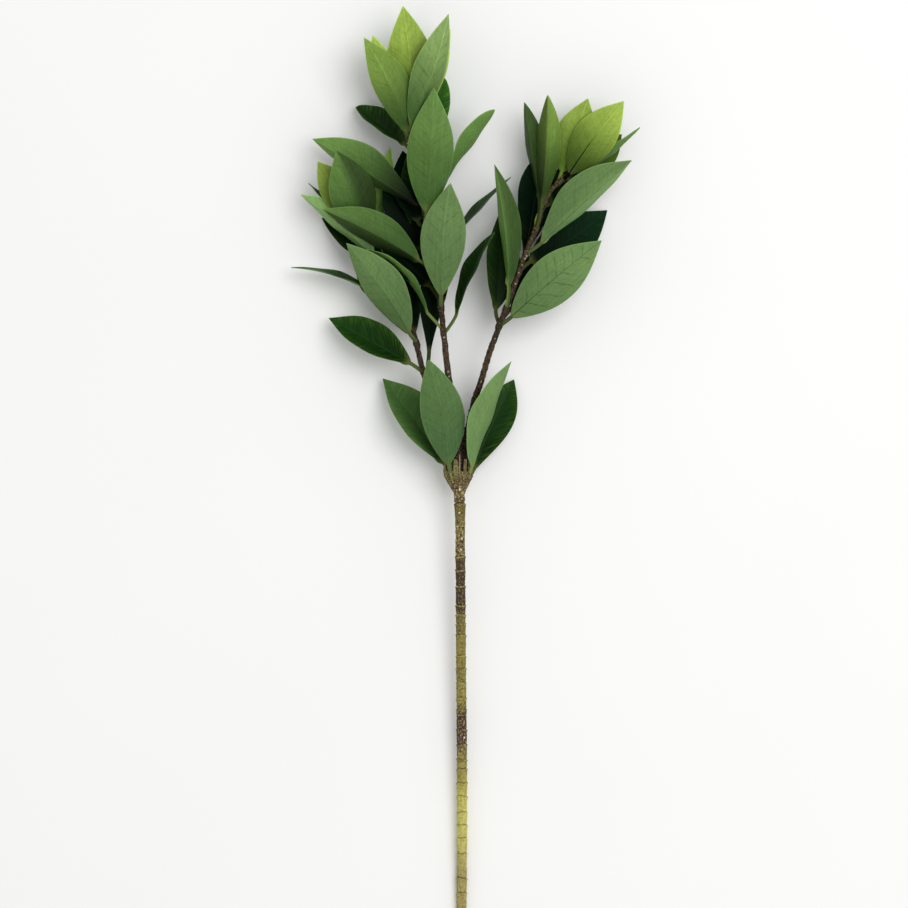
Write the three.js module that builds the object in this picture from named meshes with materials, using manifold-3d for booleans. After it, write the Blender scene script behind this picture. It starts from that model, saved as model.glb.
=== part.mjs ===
// A bay leaf branch, lying on a flat surface: a ringed cane, a collar at its top with the
// lowest four leaves, and three leafy branchlets that stand in the collar's sockets.
// Millimetres, +Z up. The cane points along -Y, the surface is z = 0, and the origin is on
// the surface under the middle of the branch.

import * as THREE from 'three';
import { mergeVertices } from 'three/addons/utils/BufferGeometryUtils.js';
import Module from 'manifold-3d';

const wasm = await Module();
wasm.setup();

// ---- driving dimensions ----

const CANE_RADIUS = 3.95;
const CANE_SIDES = 10;
const RING_RISE = 0.5; // how far a leaf scar's ring stands out of the cane
const RING_HALF_WIDTH = 1.1;
const SPIGOT_RADIUS = 2.6; // the cane's end inside the collar
const SPIGOT_LENGTH = 7;
const SPIGOT_SHORT = 2.9; // how far before the end of the cane's axis the spigot's length is counted
const SPIGOT_BLUNT = 1; // how much the spigot's end is cut back
const SPIGOT_SOCKET_SPARE = 3;
const SHOULDER_SLOPE = 5; // the swelling under the collar, below the shoulder
const SHOULDER_LIP = 1;
const SHOULDER_STEP = 0.6;
const COLLAR_SIDES = 16;
const GAP = 0.3; // between pieces that fit in each other
const BUD_LENGTH = 12;
const BUD_RADIUS = 2.3;
const BUD_SIDES = 6;
const BUD_PROFILE = [[0, 0.7], [0.25, 0.95], [0.5, 1], [0.8, 0.6], [1, 0.15]]; // shares of length, radius

const TWIG_SIDES = 7;
const TWIG_STEPS = 16;
const SOCKET_SHARE = 0.08; // how much of a twig's path its socket follows

const BLADE_THICK = 0.8;
const MIDRIB_RISE = 0.5; // the midrib's height on the underside of a leaf
const PETIOLE_WIDE = 3;
const PETIOLE_THICK = 2.3;
const TIP_WIDE = 0.8;
const ROOT_SINK = 0.8; // how far a petiole goes past its twig's axis
const MARGIN_WAVE = 0.7; // height of the waves along a leaf's margin
const WAVES = 2.3; // waves in a margin's length
const WAVE_SHIFT = 0.37; // how far the waves move on from one leaf to the next
const PETIOLE_REACH = 0.4; // how far back the midrib's line guides the petiole
const BASE_THICK = 0.8; // the blade's thickness at its base, as a share of the petiole's
const ROUND_BELLY = 0.85; // lower is blunter
const SHARP_TIP = 0.12;

// Shares of a blade's length at which its sections stand, and of its half width.
const BLADE_ROWS = [0, 0.08, 0.21, 0.37, 0.54, 0.71, 0.86, 0.95, 1];
const BLADE_COLUMNS = [1, 0, -1];

// The cane's axis, from the cut end up to the collar, and the places of its rings along Y.
const CANE_PATH = [[-3.2, -370, 3.7], [-3.1, -345, 3.8], [-2.8, -248, 9.6], [-3.6, -144, 16.4],
  [-4.4, -32, 23.6], [-5.1, -17, 24.6]];
const SWELLING_START = -28.1;
const RINGS = [-355, -340, -328, -308, -296, -285, -275, -262, -251, -240, -232, -220, -208, -192,
  -183, -170, -159, -149, -132, -123, -116, -108, -93, -80, -69];

// The collar: [y, x, z, half width, half height] of each section.
const COLLAR_SECTIONS = [[-25.6, -4.8, 24.1, 4.6, 4.6], [-23, -4.8, 24.2, 4.7, 4.6],
  [-19.5, -4.9, 24.5, 4.5, 4.4], [-15, -5.2, 25, 6.3, 5.5], [-10.6, -5.4, 25.5, 8.7, 7],
  [-6.3, -5.5, 26, 10.6, 8.3], [-0.5, -5.5, 26.4, 11.9, 9.2]];

// ---- leaves ----
// A leaf is placed by the share of its twig's length where it grows (at), by the ends of its
// blade and by its width. turn rolls the blade about the line between its ends, fold lifts
// both halves from the midrib (below zero they hang, and the underside faces up), arch bows the
// midrib out of the blade's plane, sweep bows it within that plane, and a peak below 1 moves the
// widest place towards the petiole. Angles are degrees.

const leaf = (at, base, tip, wide, shape = {}) => (
  { at, base, tip, wide, turn: 0, fold: -10, arch: 0, sweep: 0, peak: 0.95, ...shape });

const COLLAR_LEAVES = [
  leaf([-13, -5, 22], [-17.5, 6, 22], [-66.5, 73.8, 8], 41.5, { turn: 21, fold: 34, sweep: -1.2 }),
  leaf([-10.4, -7.8, 30.4], [-13.6, 5, 35], [-29.6, 88.4, 50], 35.6, { fold: -12, arch: 4, sweep: -3 }),
  leaf([2, -5.2, 29.4], [5, 3, 33], [36.5, 87, 44], 36, { turn: 60, arch: -5.7 }),
  leaf([3, -5, 21], [7, 1.5, 19], [39, 73, 4], 31.4, { fold: 12, sweep: 1.2, peak: 1.2 }),
];

const LEFT_TWIG = {
  path: [[-9, -7, 24], [-10, 12, 27], [-19, 42, 32], [-32, 74, 34], [-37.5, 94, 34], [-40.5, 107, 33],
    [-48, 122, 31], [-60.5, 144, 30], [-71.5, 167, 30], [-81, 186, 30], [-91, 205, 30]],
  radii: [2.8, 1.5],
  buds: [{ at: 0.985, aside: 0 }],
  leaves: [
    leaf(0.39, [-44.5, 86, 31], [-109.7, 122.2, 12], 34.5, { turn: 22, fold: 35, sweep: -0.1 }),
    leaf(0.37, [-29.2, 95.5, 28], [-27, 165, 20], 19, { fold: 12, peak: 1.4 }),
    leaf(0.49, [-41, 111, 30], [-47, 178, 21], 16, { fold: 12 }),
    leaf(0.5, [-45, 110, 40], [-95, 181.5, 44], 37, { turn: -25, fold: -20, arch: 3, sweep: -4.2 }),
    leaf(0.635, [-63.5, 135, 24], [-139.8, 162.8, 16], 26, { turn: 80, fold: 10, arch: 6.1 }),
    leaf(0.64, [-47.5, 138, 26], [-36, 199, 14], 25, { fold: 12 }),
    leaf(0.62, [-57, 133, 22], [-87.5, 170, 3], 26, { fold: 12 }),
    leaf(0.723, [-63.5, 160.5, 24], [-115.5, 203, 0.2], 30, { turn: 25, fold: 35 }),
    leaf(0.782, [-73, 171.5, 33], [-132, 221, 28], 31, { turn: -40, fold: -35, sweep: -1.5 }),
    leaf(0.885, [-81, 191, 34], [-103, 255, 57.5], 39, { turn: 8, fold: -16, sweep: -1.9, peak: 0.84 }),
    leaf(0.912, [-74, 197, 24], [-60.3, 259.5, 10], 18, { turn: -20 }),
    leaf(0.932, [-95.5, 200.5, 22], [-126, 230.5, 22], 11, { turn: 75, fold: 5 }),
    leaf(0.965, [-87, 201, 33], [-118.2, 247, 40], 27),
  ],
};

const MIDDLE_TWIG = {
  path: [[-5, -7, 30], [-6, 20, 33], [-13.3, 73, 39], [-16.2, 97, 42], [-19, 125, 44], [-21, 145, 45],
    [-27, 176, 46], [-33, 207, 46], [-41, 250, 44], [-46, 272, 43]],
  radii: [2.8, 1.7],
  buds: [{ at: 0.985, aside: 0 }],
  leaves: [
    leaf(0.415, [-7.5, 124, 40], [23.2, 190.5, 41], 27, { turn: -66, fold: 12, arch: 4.1, peak: 1.1 }),
    leaf(0.425, [-30.5, 126, 43], [-78, 177, 42], 28, { turn: -78, arch: -7 }),
    leaf(0.49, [-19.5, 140, 52], [-12, 229, 62], 37, { fold: -12, arch: 3, sweep: 2.2, peak: 1.02 }),
    leaf(0.515, [-18.6, 134, 36], [-20.5, 206, 8], 16, { fold: 12 }),
    leaf(0.563, [-37, 167.5, 50], [-114, 208.5, 48], 36, { turn: -24, fold: -36, sweep: -2.7 }),
    leaf(0.585, [-35.5, 176, 33], [-63.2, 243, 24], 32, { fold: 12 }),
    leaf(0.6, [-29.5, 182, 28], [-45, 258, 30], 30, { fold: 12 }),
    leaf(0.5, [-29, 148, 38], [-70, 187, 38], 26, { turn: 20, fold: 10 }),
    leaf(0.623, [-18.5, 174, 38], [36.4, 234.7, 34], 26, { turn: -76, fold: 10, arch: 1.9 }),
    leaf(0.725, [-38, 199, 38], [-50.5, 256.5, 17], 30, { fold: 15 }),
    leaf(0.738, [-31, 206, 52], [-25, 304.5, 60], 38, { arch: 3 }),
    leaf(0.787, [-40.5, 213, 48], [-122.5, 265.5, 27], 39,
      { turn: -35, fold: -35, sweep: -0.6, peak: 1.18 }),
    leaf(0.8, [-20.8, 221.7, 43], [23.2, 288, 50], 28, { turn: 64, fold: -12, arch: -3.1, peak: 1.8 }),
    leaf(0.9, [-30.6, 256.5, 38], [-17.2, 315, 18], 20.5, { fold: 12, peak: 1.2 }),
    leaf(0.922, [-48.2, 260.5, 38], [-87.6, 292.2, 6], 27, { turn: 35, fold: 35 }),
    leaf(0.95, [-49, 274, 32], [-59, 328.5, 0.2], 26, { fold: 12 }),
    leaf(0.96, [-46, 270, 50], [-81, 345, 56], 35, { turn: -10, fold: -32, sweep: -3 }),
    leaf(0.97, [-40, 279, 35], [-12, 353, 37], 24, { turn: 20, fold: -20 }),
    leaf(0.975, [-43, 275, 52], [-13.5, 363.5, 62], 33, { turn: 25, fold: -33, sweep: -2.8, peak: 0.92 }),
    leaf(0.98, [-52.5, 282, 37], [-74.2, 348, 40], 24, { fold: -12 }),
    leaf(0.99, [-43, 280.5, 43], [-50, 371, 46], 38, { fold: -15, sweep: -2.2 }),
  ],
};

const RIGHT_TWIG = {
  path: [[-1.5, -7, 24], [-1.4, 14, 27], [6.2, 52, 32], [11.6, 69, 34], [18.6, 92, 36], [26.4, 114, 38],
    [35.5, 138, 39], [45.5, 167, 40], [56.5, 194, 39], [63, 213, 38], [70, 226, 37], [84, 238, 35]],
  radii: [2.8, 1.8],
  buds: [{ at: 0.8, aside: 14 }, { at: 0.985, aside: 0 }],
  leaves: [
    leaf(0.48, [37, 123, 42], [108.5, 183.5, 50], 39, { fold: -8, arch: 2, sweep: 1 }),
    leaf(0.485, [24.2, 129, 32], [26.5, 204.5, 24], 32, { turn: 25, fold: 24, sweep: -2, peak: 1 }),
    leaf(0.5, [37.5, 131, 30], [84, 186, 4], 34, { fold: 12 }),
    leaf(0.535, [34.5, 148, 46], [23, 244, 56], 31, { turn: -22, fold: -53, sweep: -2.5 }),
    leaf(0.65, [51.5, 167, 32], [114, 209.2, 0.2], 38, { fold: 12, sweep: -3, peak: 0.88 }),
    leaf(0.713, [60.5, 182, 42], [132.5, 247.5, 50], 42, { turn: 36, fold: -38, sweep: 1.1, peak: 1.06 }),
    leaf(0.66, [47.5, 173, 34], [61, 257, 24], 32, { turn: 14, fold: 14, sweep: -0.8, peak: 1.3 }),
    leaf(0.79, [60.5, 214, 46], [65.5, 299.5, 54], 35, { turn: -9, fold: -55, sweep: -1.4, peak: 1.1 }),
    leaf(0.8, [59, 218, 38], [47, 294.5, 35], 29.5, { turn: -20, fold: -56, sweep: 0.4, peak: 1.15 }),
    leaf(0.87, [68, 214, 30], [109, 256.5, 6], 32, { fold: 12 }),
    leaf(0.953, [77, 239, 34], [98, 297.5, 36], 32),
    leaf(0.97, [83, 237.5, 40], [126.5, 295, 46], 34, { sweep: 1.4 }),
    leaf(0.978, [87, 233.6, 30], [139.8, 274.8, 28], 24, { turn: 76, arch: 2.4 }),
    leaf(0.988, [90, 236, 23], [125.5, 270, 8], 26, { fold: 10 }),
  ],
};

// ---- mesh tools ----

const vec = (a) => new THREE.Vector3(...a);
const degrees = THREE.MathUtils.degToRad;
const curveThrough = (points) => new THREE.CatmullRomCurve3(points.map(vec), false, 'catmullrom', 0.5);

// A closed mesh from rings of points: each ring is joined to the next, and the ends are closed
// by a fan round the mean of the first and of the last ring. From the place mirrorFrom in a ring,
// the four-sided faces are split along their other diagonal.
function skin(rings, mirrorFrom = Infinity) {
  const count = rings[0].length;
  const places = rings.flat().flatMap((p) => [p.x, p.y, p.z]);
  const faces = [];
  for (let r = 0; r + 1 < rings.length; r += 1) {
    for (let i = 0; i < count; i += 1) {
      const j = (i + 1) % count;
      const [a, b, c, d] = [r * count + i, r * count + j, (r + 1) * count + j, (r + 1) * count + i];
      faces.push(...(i < mirrorFrom ? [a, b, c, a, c, d] : [a, b, d, b, c, d]));
    }
  }
  const closeEnd = (ring, first, flip) => {
    const middle = ring.reduce((sum, p) => sum.add(p), new THREE.Vector3()).divideScalar(count);
    const centre = places.length / 3;
    places.push(middle.x, middle.y, middle.z);
    for (let i = 0; i < count; i += 1) {
      const pair = [first + i, first + (i + 1) % count];
      faces.push(centre, ...(flip ? pair.reverse() : pair));
    }
  };
  closeEnd(rings[0], 0, true);
  closeEnd(rings[rings.length - 1], (rings.length - 1) * count, false);
  return solidFrom(places, faces);
}

function solidFrom(places, faces) {
  return new wasm.Manifold(new wasm.Mesh({
    numProp: 3,
    vertProperties: new Float32Array(places),
    triVerts: new Uint32Array(faces),
  }));
}

// A round or oval section across the direction ahead.
function section(centre, ahead, sides, halfWidth, halfHeight = halfWidth) {
  const across = new THREE.Vector3().crossVectors(ahead, new THREE.Vector3(0, 0, 1)).normalize();
  const above = new THREE.Vector3().crossVectors(across, ahead).normalize();
  return Array.from({ length: sides }, (_, i) => {
    const angle = ((i + 0.5) / sides) * 2 * Math.PI;
    return centre.clone()
      .addScaledVector(across, halfWidth * Math.cos(angle))
      .addScaledVector(above, halfHeight * Math.sin(angle));
  }).reverse();
}

// A rod along a curve, its radius given by a function of the share of the length.
function rod(curve, shares, sides, radiusAt) {
  return skin(shares.map((s) => (
    section(curve.getPointAt(s), curve.getTangentAt(s), sides, radiusAt(s)))));
}

const evenShares = (steps) => Array.from({ length: steps + 1 }, (_, i) => i / steps);

// three.js geometry as a solid, with its shared vertices merged.
function solidOf(geometry) {
  const bare = geometry.clone();
  bare.deleteAttribute('normal');
  bare.deleteAttribute('uv');
  const merged = mergeVertices(bare);
  return solidFrom(Array.from(merged.attributes.position.array), Array.from(merged.index.array));
}

// ---- a leaf ----

const outline = (t, peak) => (
  Math.abs(Math.sin(Math.PI * t ** peak)) ** ROUND_BELLY * (1 - SHARP_TIP * t ** 6));

// The blade's own directions: along the midrib, to its left, and out of its upper face.
function bladeAxes({ base, tip, turn }) {
  const along = vec(tip).sub(vec(base));
  const length = along.length();
  along.normalize();
  const level = new THREE.Vector3(0, 0, 1).cross(along).normalize();
  const side = level.clone().applyAxisAngle(along, degrees(turn));
  const up = new THREE.Vector3().crossVectors(along, side);
  return { along, side, up, length };
}

// One leaf with its petiole, as a shell of sections across the midrib.
function leafSolid(spec, root, number) {
  const { along, side, up, length } = bladeAxes(spec);
  const base = vec(spec.base);
  const lean = degrees(spec.fold);
  const under = spec.fold < 0 ? 1 : -1; // the side of the sheet that the midrib stands out of
  const rows = [];
  const addRow = (centre, halfWidth, thick, rib, wave) => {
    const points = BLADE_COLUMNS.map((s) => centre.clone()
      .addScaledVector(side, halfWidth * s * Math.cos(lean))
      .addScaledVector(up, halfWidth * Math.abs(s) * Math.sin(lean) + wave * s * Math.abs(s)));
    const lift = (p, i, by) => (
      p.clone().addScaledVector(up, by + (BLADE_COLUMNS[i] === 0 && by * under > 0 ? by * rib : 0)));
    const top = points.map((p, i) => lift(p, i, thick / 2));
    const bottom = points.map((p, i) => lift(p, i, -thick / 2));
    rows.push([...top, ...bottom.reverse()]);
  };

  // The petiole curves from its root, past the twig's axis, into the line of the midrib.
  const outward = base.clone().sub(root).normalize();
  const start = root.clone().addScaledVector(outward, -ROOT_SINK);
  const control = base.clone().addScaledVector(along, -PETIOLE_REACH * base.distanceTo(root));
  const petiole = new THREE.QuadraticBezierCurve3(start, control, base);
  addRow(petiole.getPoint(0), PETIOLE_WIDE / 2, PETIOLE_THICK, 0, 0);
  addRow(petiole.getPoint(0.5), PETIOLE_WIDE / 2, PETIOLE_THICK, 0, 0);

  BLADE_ROWS.forEach((t) => {
    const bow = 4 * t * (1 - t);
    const centre = base.clone()
      .addScaledVector(along, length * t)
      .addScaledVector(up, spec.arch * bow)
      .addScaledVector(side, spec.sweep * bow);
    const edge = THREE.MathUtils.lerp(PETIOLE_WIDE, TIP_WIDE, t);
    const halfWidth = (spec.wide * outline(t, spec.peak) * (1 - edge / spec.wide) + edge) / 2;
    const thick = t === 0 ? PETIOLE_THICK * BASE_THICK : BLADE_THICK;
    const wave = MARGIN_WAVE * bow * Math.sin(2 * Math.PI * (WAVES * t + number * WAVE_SHIFT));
    addRow(centre, halfWidth, thick, t === 0 ? 0 : (2 * MIDRIB_RISE * (1 - t)) / BLADE_THICK, wave);
  });
  // Both faces of the sheet are split alike, so that they stay apart.
  return skin(rows, BLADE_COLUMNS.length);
}

// ---- sub-parts ----

const together = (solids) => wasm.Manifold.union(solids);

// Where crossing leaves shut in a small pocket, the pocket is filled.
const filled = (solid) => together(solid.decompose().filter((shell) => shell.volume() > 0));

// Everything below the surface that the branch lies on is cut away, which leaves its flat spots.
const belowSurface = solidOf(new THREE.BoxGeometry(600, 1000, 80).translate(0, 0, -40));

function caneSolid() {
  const path = curveThrough(CANE_PATH);
  const length = path.getLength();
  const bottom = CANE_PATH[0][1];
  const stations = [[0, CANE_RADIUS]];
  RINGS.forEach((y) => {
    const at = y - bottom;
    stations.push([at - RING_HALF_WIDTH, CANE_RADIUS], [at, CANE_RADIUS + RING_RISE],
      [at + RING_HALF_WIDTH, CANE_RADIUS - RING_RISE / 3]);
  });
  const shoulder = length - SPIGOT_LENGTH - SPIGOT_SHORT;
  stations.push(
    [SWELLING_START - bottom, CANE_RADIUS],
    [shoulder - SHOULDER_SLOPE, CANE_RADIUS],
    [shoulder - SHOULDER_LIP, CANE_RADIUS + RING_RISE],
    [shoulder, CANE_RADIUS],
    [shoulder + SHOULDER_STEP, SPIGOT_RADIUS],
    [shoulder + SPIGOT_LENGTH - SPIGOT_BLUNT, SPIGOT_RADIUS],
  );
  const rings = stations.map(([at, radius]) => {
    const share = Math.min(at / length, 1);
    return section(path.getPointAt(share), path.getTangentAt(share), CANE_SIDES, radius);
  });
  return skin(rings).subtract(belowSurface);
}

// A closed bud, pointed at its outer end, which leans aside from its twig by an angle in degrees.
function budSolid(curve, { at, aside }) {
  const root = curve.getPointAt(at);
  const ahead = curve.getTangentAt(at).applyAxisAngle(new THREE.Vector3(0, 0, 1), degrees(aside));
  return skin(BUD_PROFILE.map(([share, size]) => (
    section(root.clone().addScaledVector(ahead, share * BUD_LENGTH), ahead, BUD_SIDES, size * BUD_RADIUS))));
}

function collarSolid() {
  const body = skin(COLLAR_SECTIONS.map(([y, x, z, halfWidth, halfHeight]) => (
    section(new THREE.Vector3(x, y, z), new THREE.Vector3(0, 1, 0), COLLAR_SIDES, halfWidth, halfHeight))));
  const leaves = COLLAR_LEAVES.map((spec, i) => leafSolid(spec, vec(spec.at), i));
  const openings = [LEFT_TWIG, MIDDLE_TWIG, RIGHT_TWIG].map(({ path: [root, ...rest], radii }) => (
    rod(curveThrough([[root[0], root[1] - GAP, root[2]], ...rest]), [0, SOCKET_SHARE / 2, SOCKET_SHARE],
      2 * TWIG_SIDES, () => radii[0] + 2 * GAP)));
  const caneEnd = curveThrough(CANE_PATH);
  const share = 1 - (SPIGOT_LENGTH + SPIGOT_SOCKET_SPARE) / caneEnd.getLength();
  openings.push(rod(caneEnd, [share, (1 + share) / 2, 1], COLLAR_SIDES, () => SPIGOT_RADIUS + GAP));
  return together([body, ...leaves]).subtract(together(openings)).subtract(belowSurface);
}

function branchletSolid({ path, radii, buds, leaves }) {
  const curve = curveThrough(path);
  const radiusAt = (s) => THREE.MathUtils.lerp(radii[0], radii[1], s);
  const twig = rod(curve, evenShares(TWIG_STEPS), TWIG_SIDES, radiusAt);
  const blades = leaves.map((spec, i) => leafSolid(spec, curve.getPointAt(spec.at), i));
  const tips = buds.map((spec) => budSolid(curve, spec));
  return filled(together([twig, ...blades, ...tips])).subtract(belowSurface);
}

// ---- the branch ----

const BARK = new THREE.MeshStandardMaterial({ color: 0x8a8648, roughness: 0.8, metalness: 0 });
const LOW_LEAF = new THREE.MeshStandardMaterial({ color: 0x4f7a48, roughness: 0.6, metalness: 0 });
const LEAF = new THREE.MeshStandardMaterial({ color: 0x5c8450, roughness: 0.6, metalness: 0 });
const YOUNG_LEAF = new THREE.MeshStandardMaterial({ color: 0x7c9f4c, roughness: 0.6, metalness: 0 });

function piece(name, solid, material) {
  const { vertProperties, triVerts } = solid.getMesh();
  const geometry = new THREE.BufferGeometry();
  geometry.setAttribute('position', new THREE.BufferAttribute(new Float32Array(vertProperties), 3));
  geometry.setIndex(new THREE.BufferAttribute(new Uint32Array(triVerts), 1));
  geometry.computeVertexNormals();
  const mesh = new THREE.Mesh(geometry, material);
  mesh.name = name;
  return mesh;
}

const branch = new THREE.Group();
branch.name = 'bay_leaf_branch';
branch.add(piece('main_stem', caneSolid(), BARK));
branch.add(piece('leaf_collar', collarSolid(), LOW_LEAF));
branch.add(piece('left_branchlet', branchletSolid(LEFT_TWIG), LEAF));
branch.add(piece('middle_branchlet', branchletSolid(MIDDLE_TWIG), LEAF));
branch.add(piece('right_branchlet', branchletSolid(RIGHT_TWIG), YOUNG_LEAF));

export default branch;
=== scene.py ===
"""A bay leaf branch lying on a pale floor, seen from straight above.

The branch is a ringed cane, a fork collar with the four lowest leaves, and three leafy branchlets.
Each leaf, twig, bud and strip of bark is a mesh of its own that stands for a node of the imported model.
Lengths in the tables are millimetres, as in the model's own source; meshes are made in metres.
"""

from __future__ import annotations

import logging
import math
import sys
from dataclasses import dataclass, field
from enum import Enum
from typing import Mapping, Sequence

import bpy
import numpy as np
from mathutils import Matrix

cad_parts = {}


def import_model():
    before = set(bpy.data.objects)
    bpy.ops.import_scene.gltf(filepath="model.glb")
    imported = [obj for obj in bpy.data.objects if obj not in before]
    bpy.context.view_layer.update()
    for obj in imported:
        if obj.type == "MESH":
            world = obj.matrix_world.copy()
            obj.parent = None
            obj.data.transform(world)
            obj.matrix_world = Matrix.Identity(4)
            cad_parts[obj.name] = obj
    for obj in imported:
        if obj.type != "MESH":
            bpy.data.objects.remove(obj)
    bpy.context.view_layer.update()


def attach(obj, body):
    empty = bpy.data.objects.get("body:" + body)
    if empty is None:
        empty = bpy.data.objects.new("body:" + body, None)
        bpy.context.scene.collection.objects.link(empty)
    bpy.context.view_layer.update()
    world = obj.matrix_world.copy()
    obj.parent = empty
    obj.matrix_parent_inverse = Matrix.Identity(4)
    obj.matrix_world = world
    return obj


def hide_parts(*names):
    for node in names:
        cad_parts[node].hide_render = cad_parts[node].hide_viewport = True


LOG = logging.getLogger("bay_leaf_branch")

MM = 0.001
BODY = "root"

Point = tuple[float, float, float]
Colour = tuple[float, float, float]
Table = tuple[tuple[float, float], ...]
Socket = bpy.types.NodeSocket


# ---- shared geometry ----


class SmoothPath:
    """A smooth curve through points, read by the share of its length."""

    DIVISIONS = 200
    TENSION = 0.5
    NUDGE = 1e-4

    def __init__(self, points: Sequence[Point]) -> None:
        """Measures the curve.

        Args:
            points: The points that it passes through.
        """
        self.points = np.array(points, float)
        self._steps = np.linspace(0, 1, self.DIVISIONS + 1)
        places = self._place(self._steps)
        pieces = np.linalg.norm(np.diff(places, axis=0), axis=1)
        self._lengths = np.concatenate([[0], np.cumsum(pieces)])
        self.length = float(self._lengths[-1])

    def _place(self, steps: np.ndarray) -> np.ndarray:
        """Places on the curve, by its own parameter.

        Args:
            steps: Parameters from 0 to 1.

        Returns:
            One row of x, y, z for each step.
        """
        points = self.points
        first = 2 * points[0] - points[1]
        last = 2 * points[-1] - points[-2]
        padded = np.vstack([first, points, last])
        scaled = steps * (len(points) - 1)
        index = np.clip(np.floor(scaled).astype(int), 0, len(points) - 2)
        weight = (scaled - index)[:, None]
        before, start, end, after = (padded[index + i] for i in range(4))
        leave = self.TENSION * (end - before)
        arrive = self.TENSION * (after - start)
        square = -3 * start + 3 * end - 2 * leave - arrive
        cube = 2 * start - 2 * end + leave + arrive
        return start + leave * weight + square * weight**2 + cube * weight**3

    def _steps_at(self, shares: np.ndarray) -> np.ndarray:
        """The curve's own parameters at shares of its length."""
        return np.interp(np.asarray(shares, float) * self.length, self._lengths, self._steps)

    def at(self, shares: np.ndarray) -> np.ndarray:
        """Places at shares of the curve's length."""
        return self._place(self._steps_at(shares))

    def ahead(self, shares: np.ndarray) -> np.ndarray:
        """The way the curve runs.

        Args:
            shares: Places as shares of its length.

        Returns:
            One unit direction for each share.
        """
        steps = self._steps_at(shares)
        low = np.clip(steps - self.NUDGE, 0, 1)
        high = np.clip(steps + self.NUDGE, 0, 1)
        return unit(self._place(high) - self._place(low))


def unit(vectors: np.ndarray) -> np.ndarray:
    """The same vectors at length one."""
    return vectors / np.linalg.norm(vectors, axis=-1, keepdims=True)


def smooth(value: np.ndarray | float, low: float, high: float) -> np.ndarray:
    """A soft step from 0 at low to 1 at high.

    Args:
        value: Where the step is read.
        low: The value at which the step starts to rise.
        high: The value at which the step is complete.

    Returns:
        The step's height at each value.
    """
    share = np.clip((np.asarray(value, float) - low) / (high - low), 0, 1)
    return share * share * (3 - 2 * share)


def hump(distance: np.ndarray, width: float) -> np.ndarray:
    """A rounded hump of height one, about width wide on each side."""
    return np.exp(-((distance / width) ** 2))


def read(table: Table, where: np.ndarray) -> np.ndarray:
    """A table's second column at places between the rows of its first."""
    return np.interp(where, *zip(*table))


def round_angles(sides: int) -> np.ndarray:
    """Even angles all the way round, in radians."""
    return 2 * math.pi * np.arange(sides) / sides


def turned(vector: np.ndarray, axis: np.ndarray, angle: float) -> np.ndarray:
    """The vector turned about a unit axis.

    Args:
        vector: What is turned.
        axis: The unit axis.
        angle: The angle in radians.

    Returns:
        The turned vector.
    """
    across = np.cross(axis, vector)
    along = axis * np.dot(axis, vector)
    return vector * math.cos(angle) + across * math.sin(angle) + along * (1 - math.cos(angle))


class Lumps:
    """A fixed, smooth unevenness: a sum of plane waves with seeded directions."""

    WAVES = 14
    FINENESS = (0.6, 1.7)

    def __init__(self, seed: int, size: float) -> None:
        """Draws the waves.

        Args:
            seed: Starts the random draw.
            size: The usual size of a lump, in millimetres.
        """
        draw = np.random.default_rng(seed)
        directions = unit(draw.normal(size=(self.WAVES, 3)))
        pitches = draw.uniform(*self.FINENESS, self.WAVES) / size
        self._waves = directions * pitches[:, None] * math.pi
        self._starts = draw.uniform(0, 2 * math.pi, self.WAVES)

    def at(self, places: np.ndarray) -> np.ndarray:
        """Heights, mostly between -1 and 1, at places in millimetres."""
        return np.sin(places @ self._waves.T + self._starts).sum(-1) / math.sqrt(self.WAVES)


def placed(name: str, data: bpy.types.ID) -> bpy.types.Object:
    """Puts a mesh, lamp or camera in the scene.

    Args:
        name: The new object's name.
        data: What it holds.

    Returns:
        The new object.
    """
    made = bpy.data.objects.new(name, data)
    bpy.context.scene.collection.objects.link(made)
    return made


@dataclass
class Skin:
    """A closed skin made of rings of points, each joined to the next, with a point in each end.

    attributes are the numbers that its finish reads, by ring and place round it. slots are the
    materials of one ring's faces, where there is more than one.
    """

    rings: np.ndarray
    attributes: dict[str, np.ndarray] = field(default_factory=dict)
    slots: np.ndarray | None = None

    def _faces(self) -> list[list[int]]:
        """The squares between the rings, and the fans that close the first and the last ring.

        Returns:
            The points of each face.
        """
        rows, columns, _ = self.rings.shape
        here = np.arange(columns)
        after = (here + 1) % columns
        starts = (np.arange(rows - 1) * columns)[:, None]
        corners = (here + starts, after + starts, after + starts + columns, here + starts + columns)
        squares = np.stack(corners, -1).reshape(-1, 4)
        last = (rows - 1) * columns
        middle = np.full(columns, rows * columns)
        first_fan = np.stack([middle, after, here], -1)
        last_fan = np.stack([middle + 1, here + last, after + last], -1)
        return [*squares.tolist(), *first_fan.tolist(), *last_fan.tolist()]

    def build(self, name: str, materials: Sequence[bpy.types.Material]) -> bpy.types.Object:
        """Makes the Blender object, in metres and nowhere below the floor.

        Args:
            name: The object's name.
            materials: The materials of its slots.

        Returns:
            The new object, linked to the scene.
        """
        rows, columns, _ = self.rings.shape
        ends = np.array([self.rings[0].mean(0), self.rings[-1].mean(0)])
        places = np.vstack([self.rings.reshape(-1, 3), ends]) * MM
        places[:, 2] = np.maximum(places[:, 2], 0)
        faces = self._faces()
        mesh = bpy.data.meshes.new(name)
        mesh.from_pydata(places.tolist(), [], faces)
        for key, values in self.attributes.items():
            grid = np.broadcast_to(values, (rows, columns))
            data = np.concatenate([grid.ravel(), [grid[0].mean(), grid[-1].mean()]])
            mesh.attributes.new(key, "FLOAT", "POINT").data.foreach_set("value", data.astype(np.float32))
        for material in materials:
            mesh.materials.append(material)
        if self.slots is not None:
            fans = np.full(2 * columns, self.slots[0])
            wanted = np.concatenate([np.tile(self.slots, rows - 1), fans]).astype(np.int32)
            mesh.polygons.foreach_set("material_index", wanted)
        mesh.polygons.foreach_set("use_smooth", np.ones(len(faces), bool))
        mesh.update()
        return placed(name, mesh)


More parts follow.
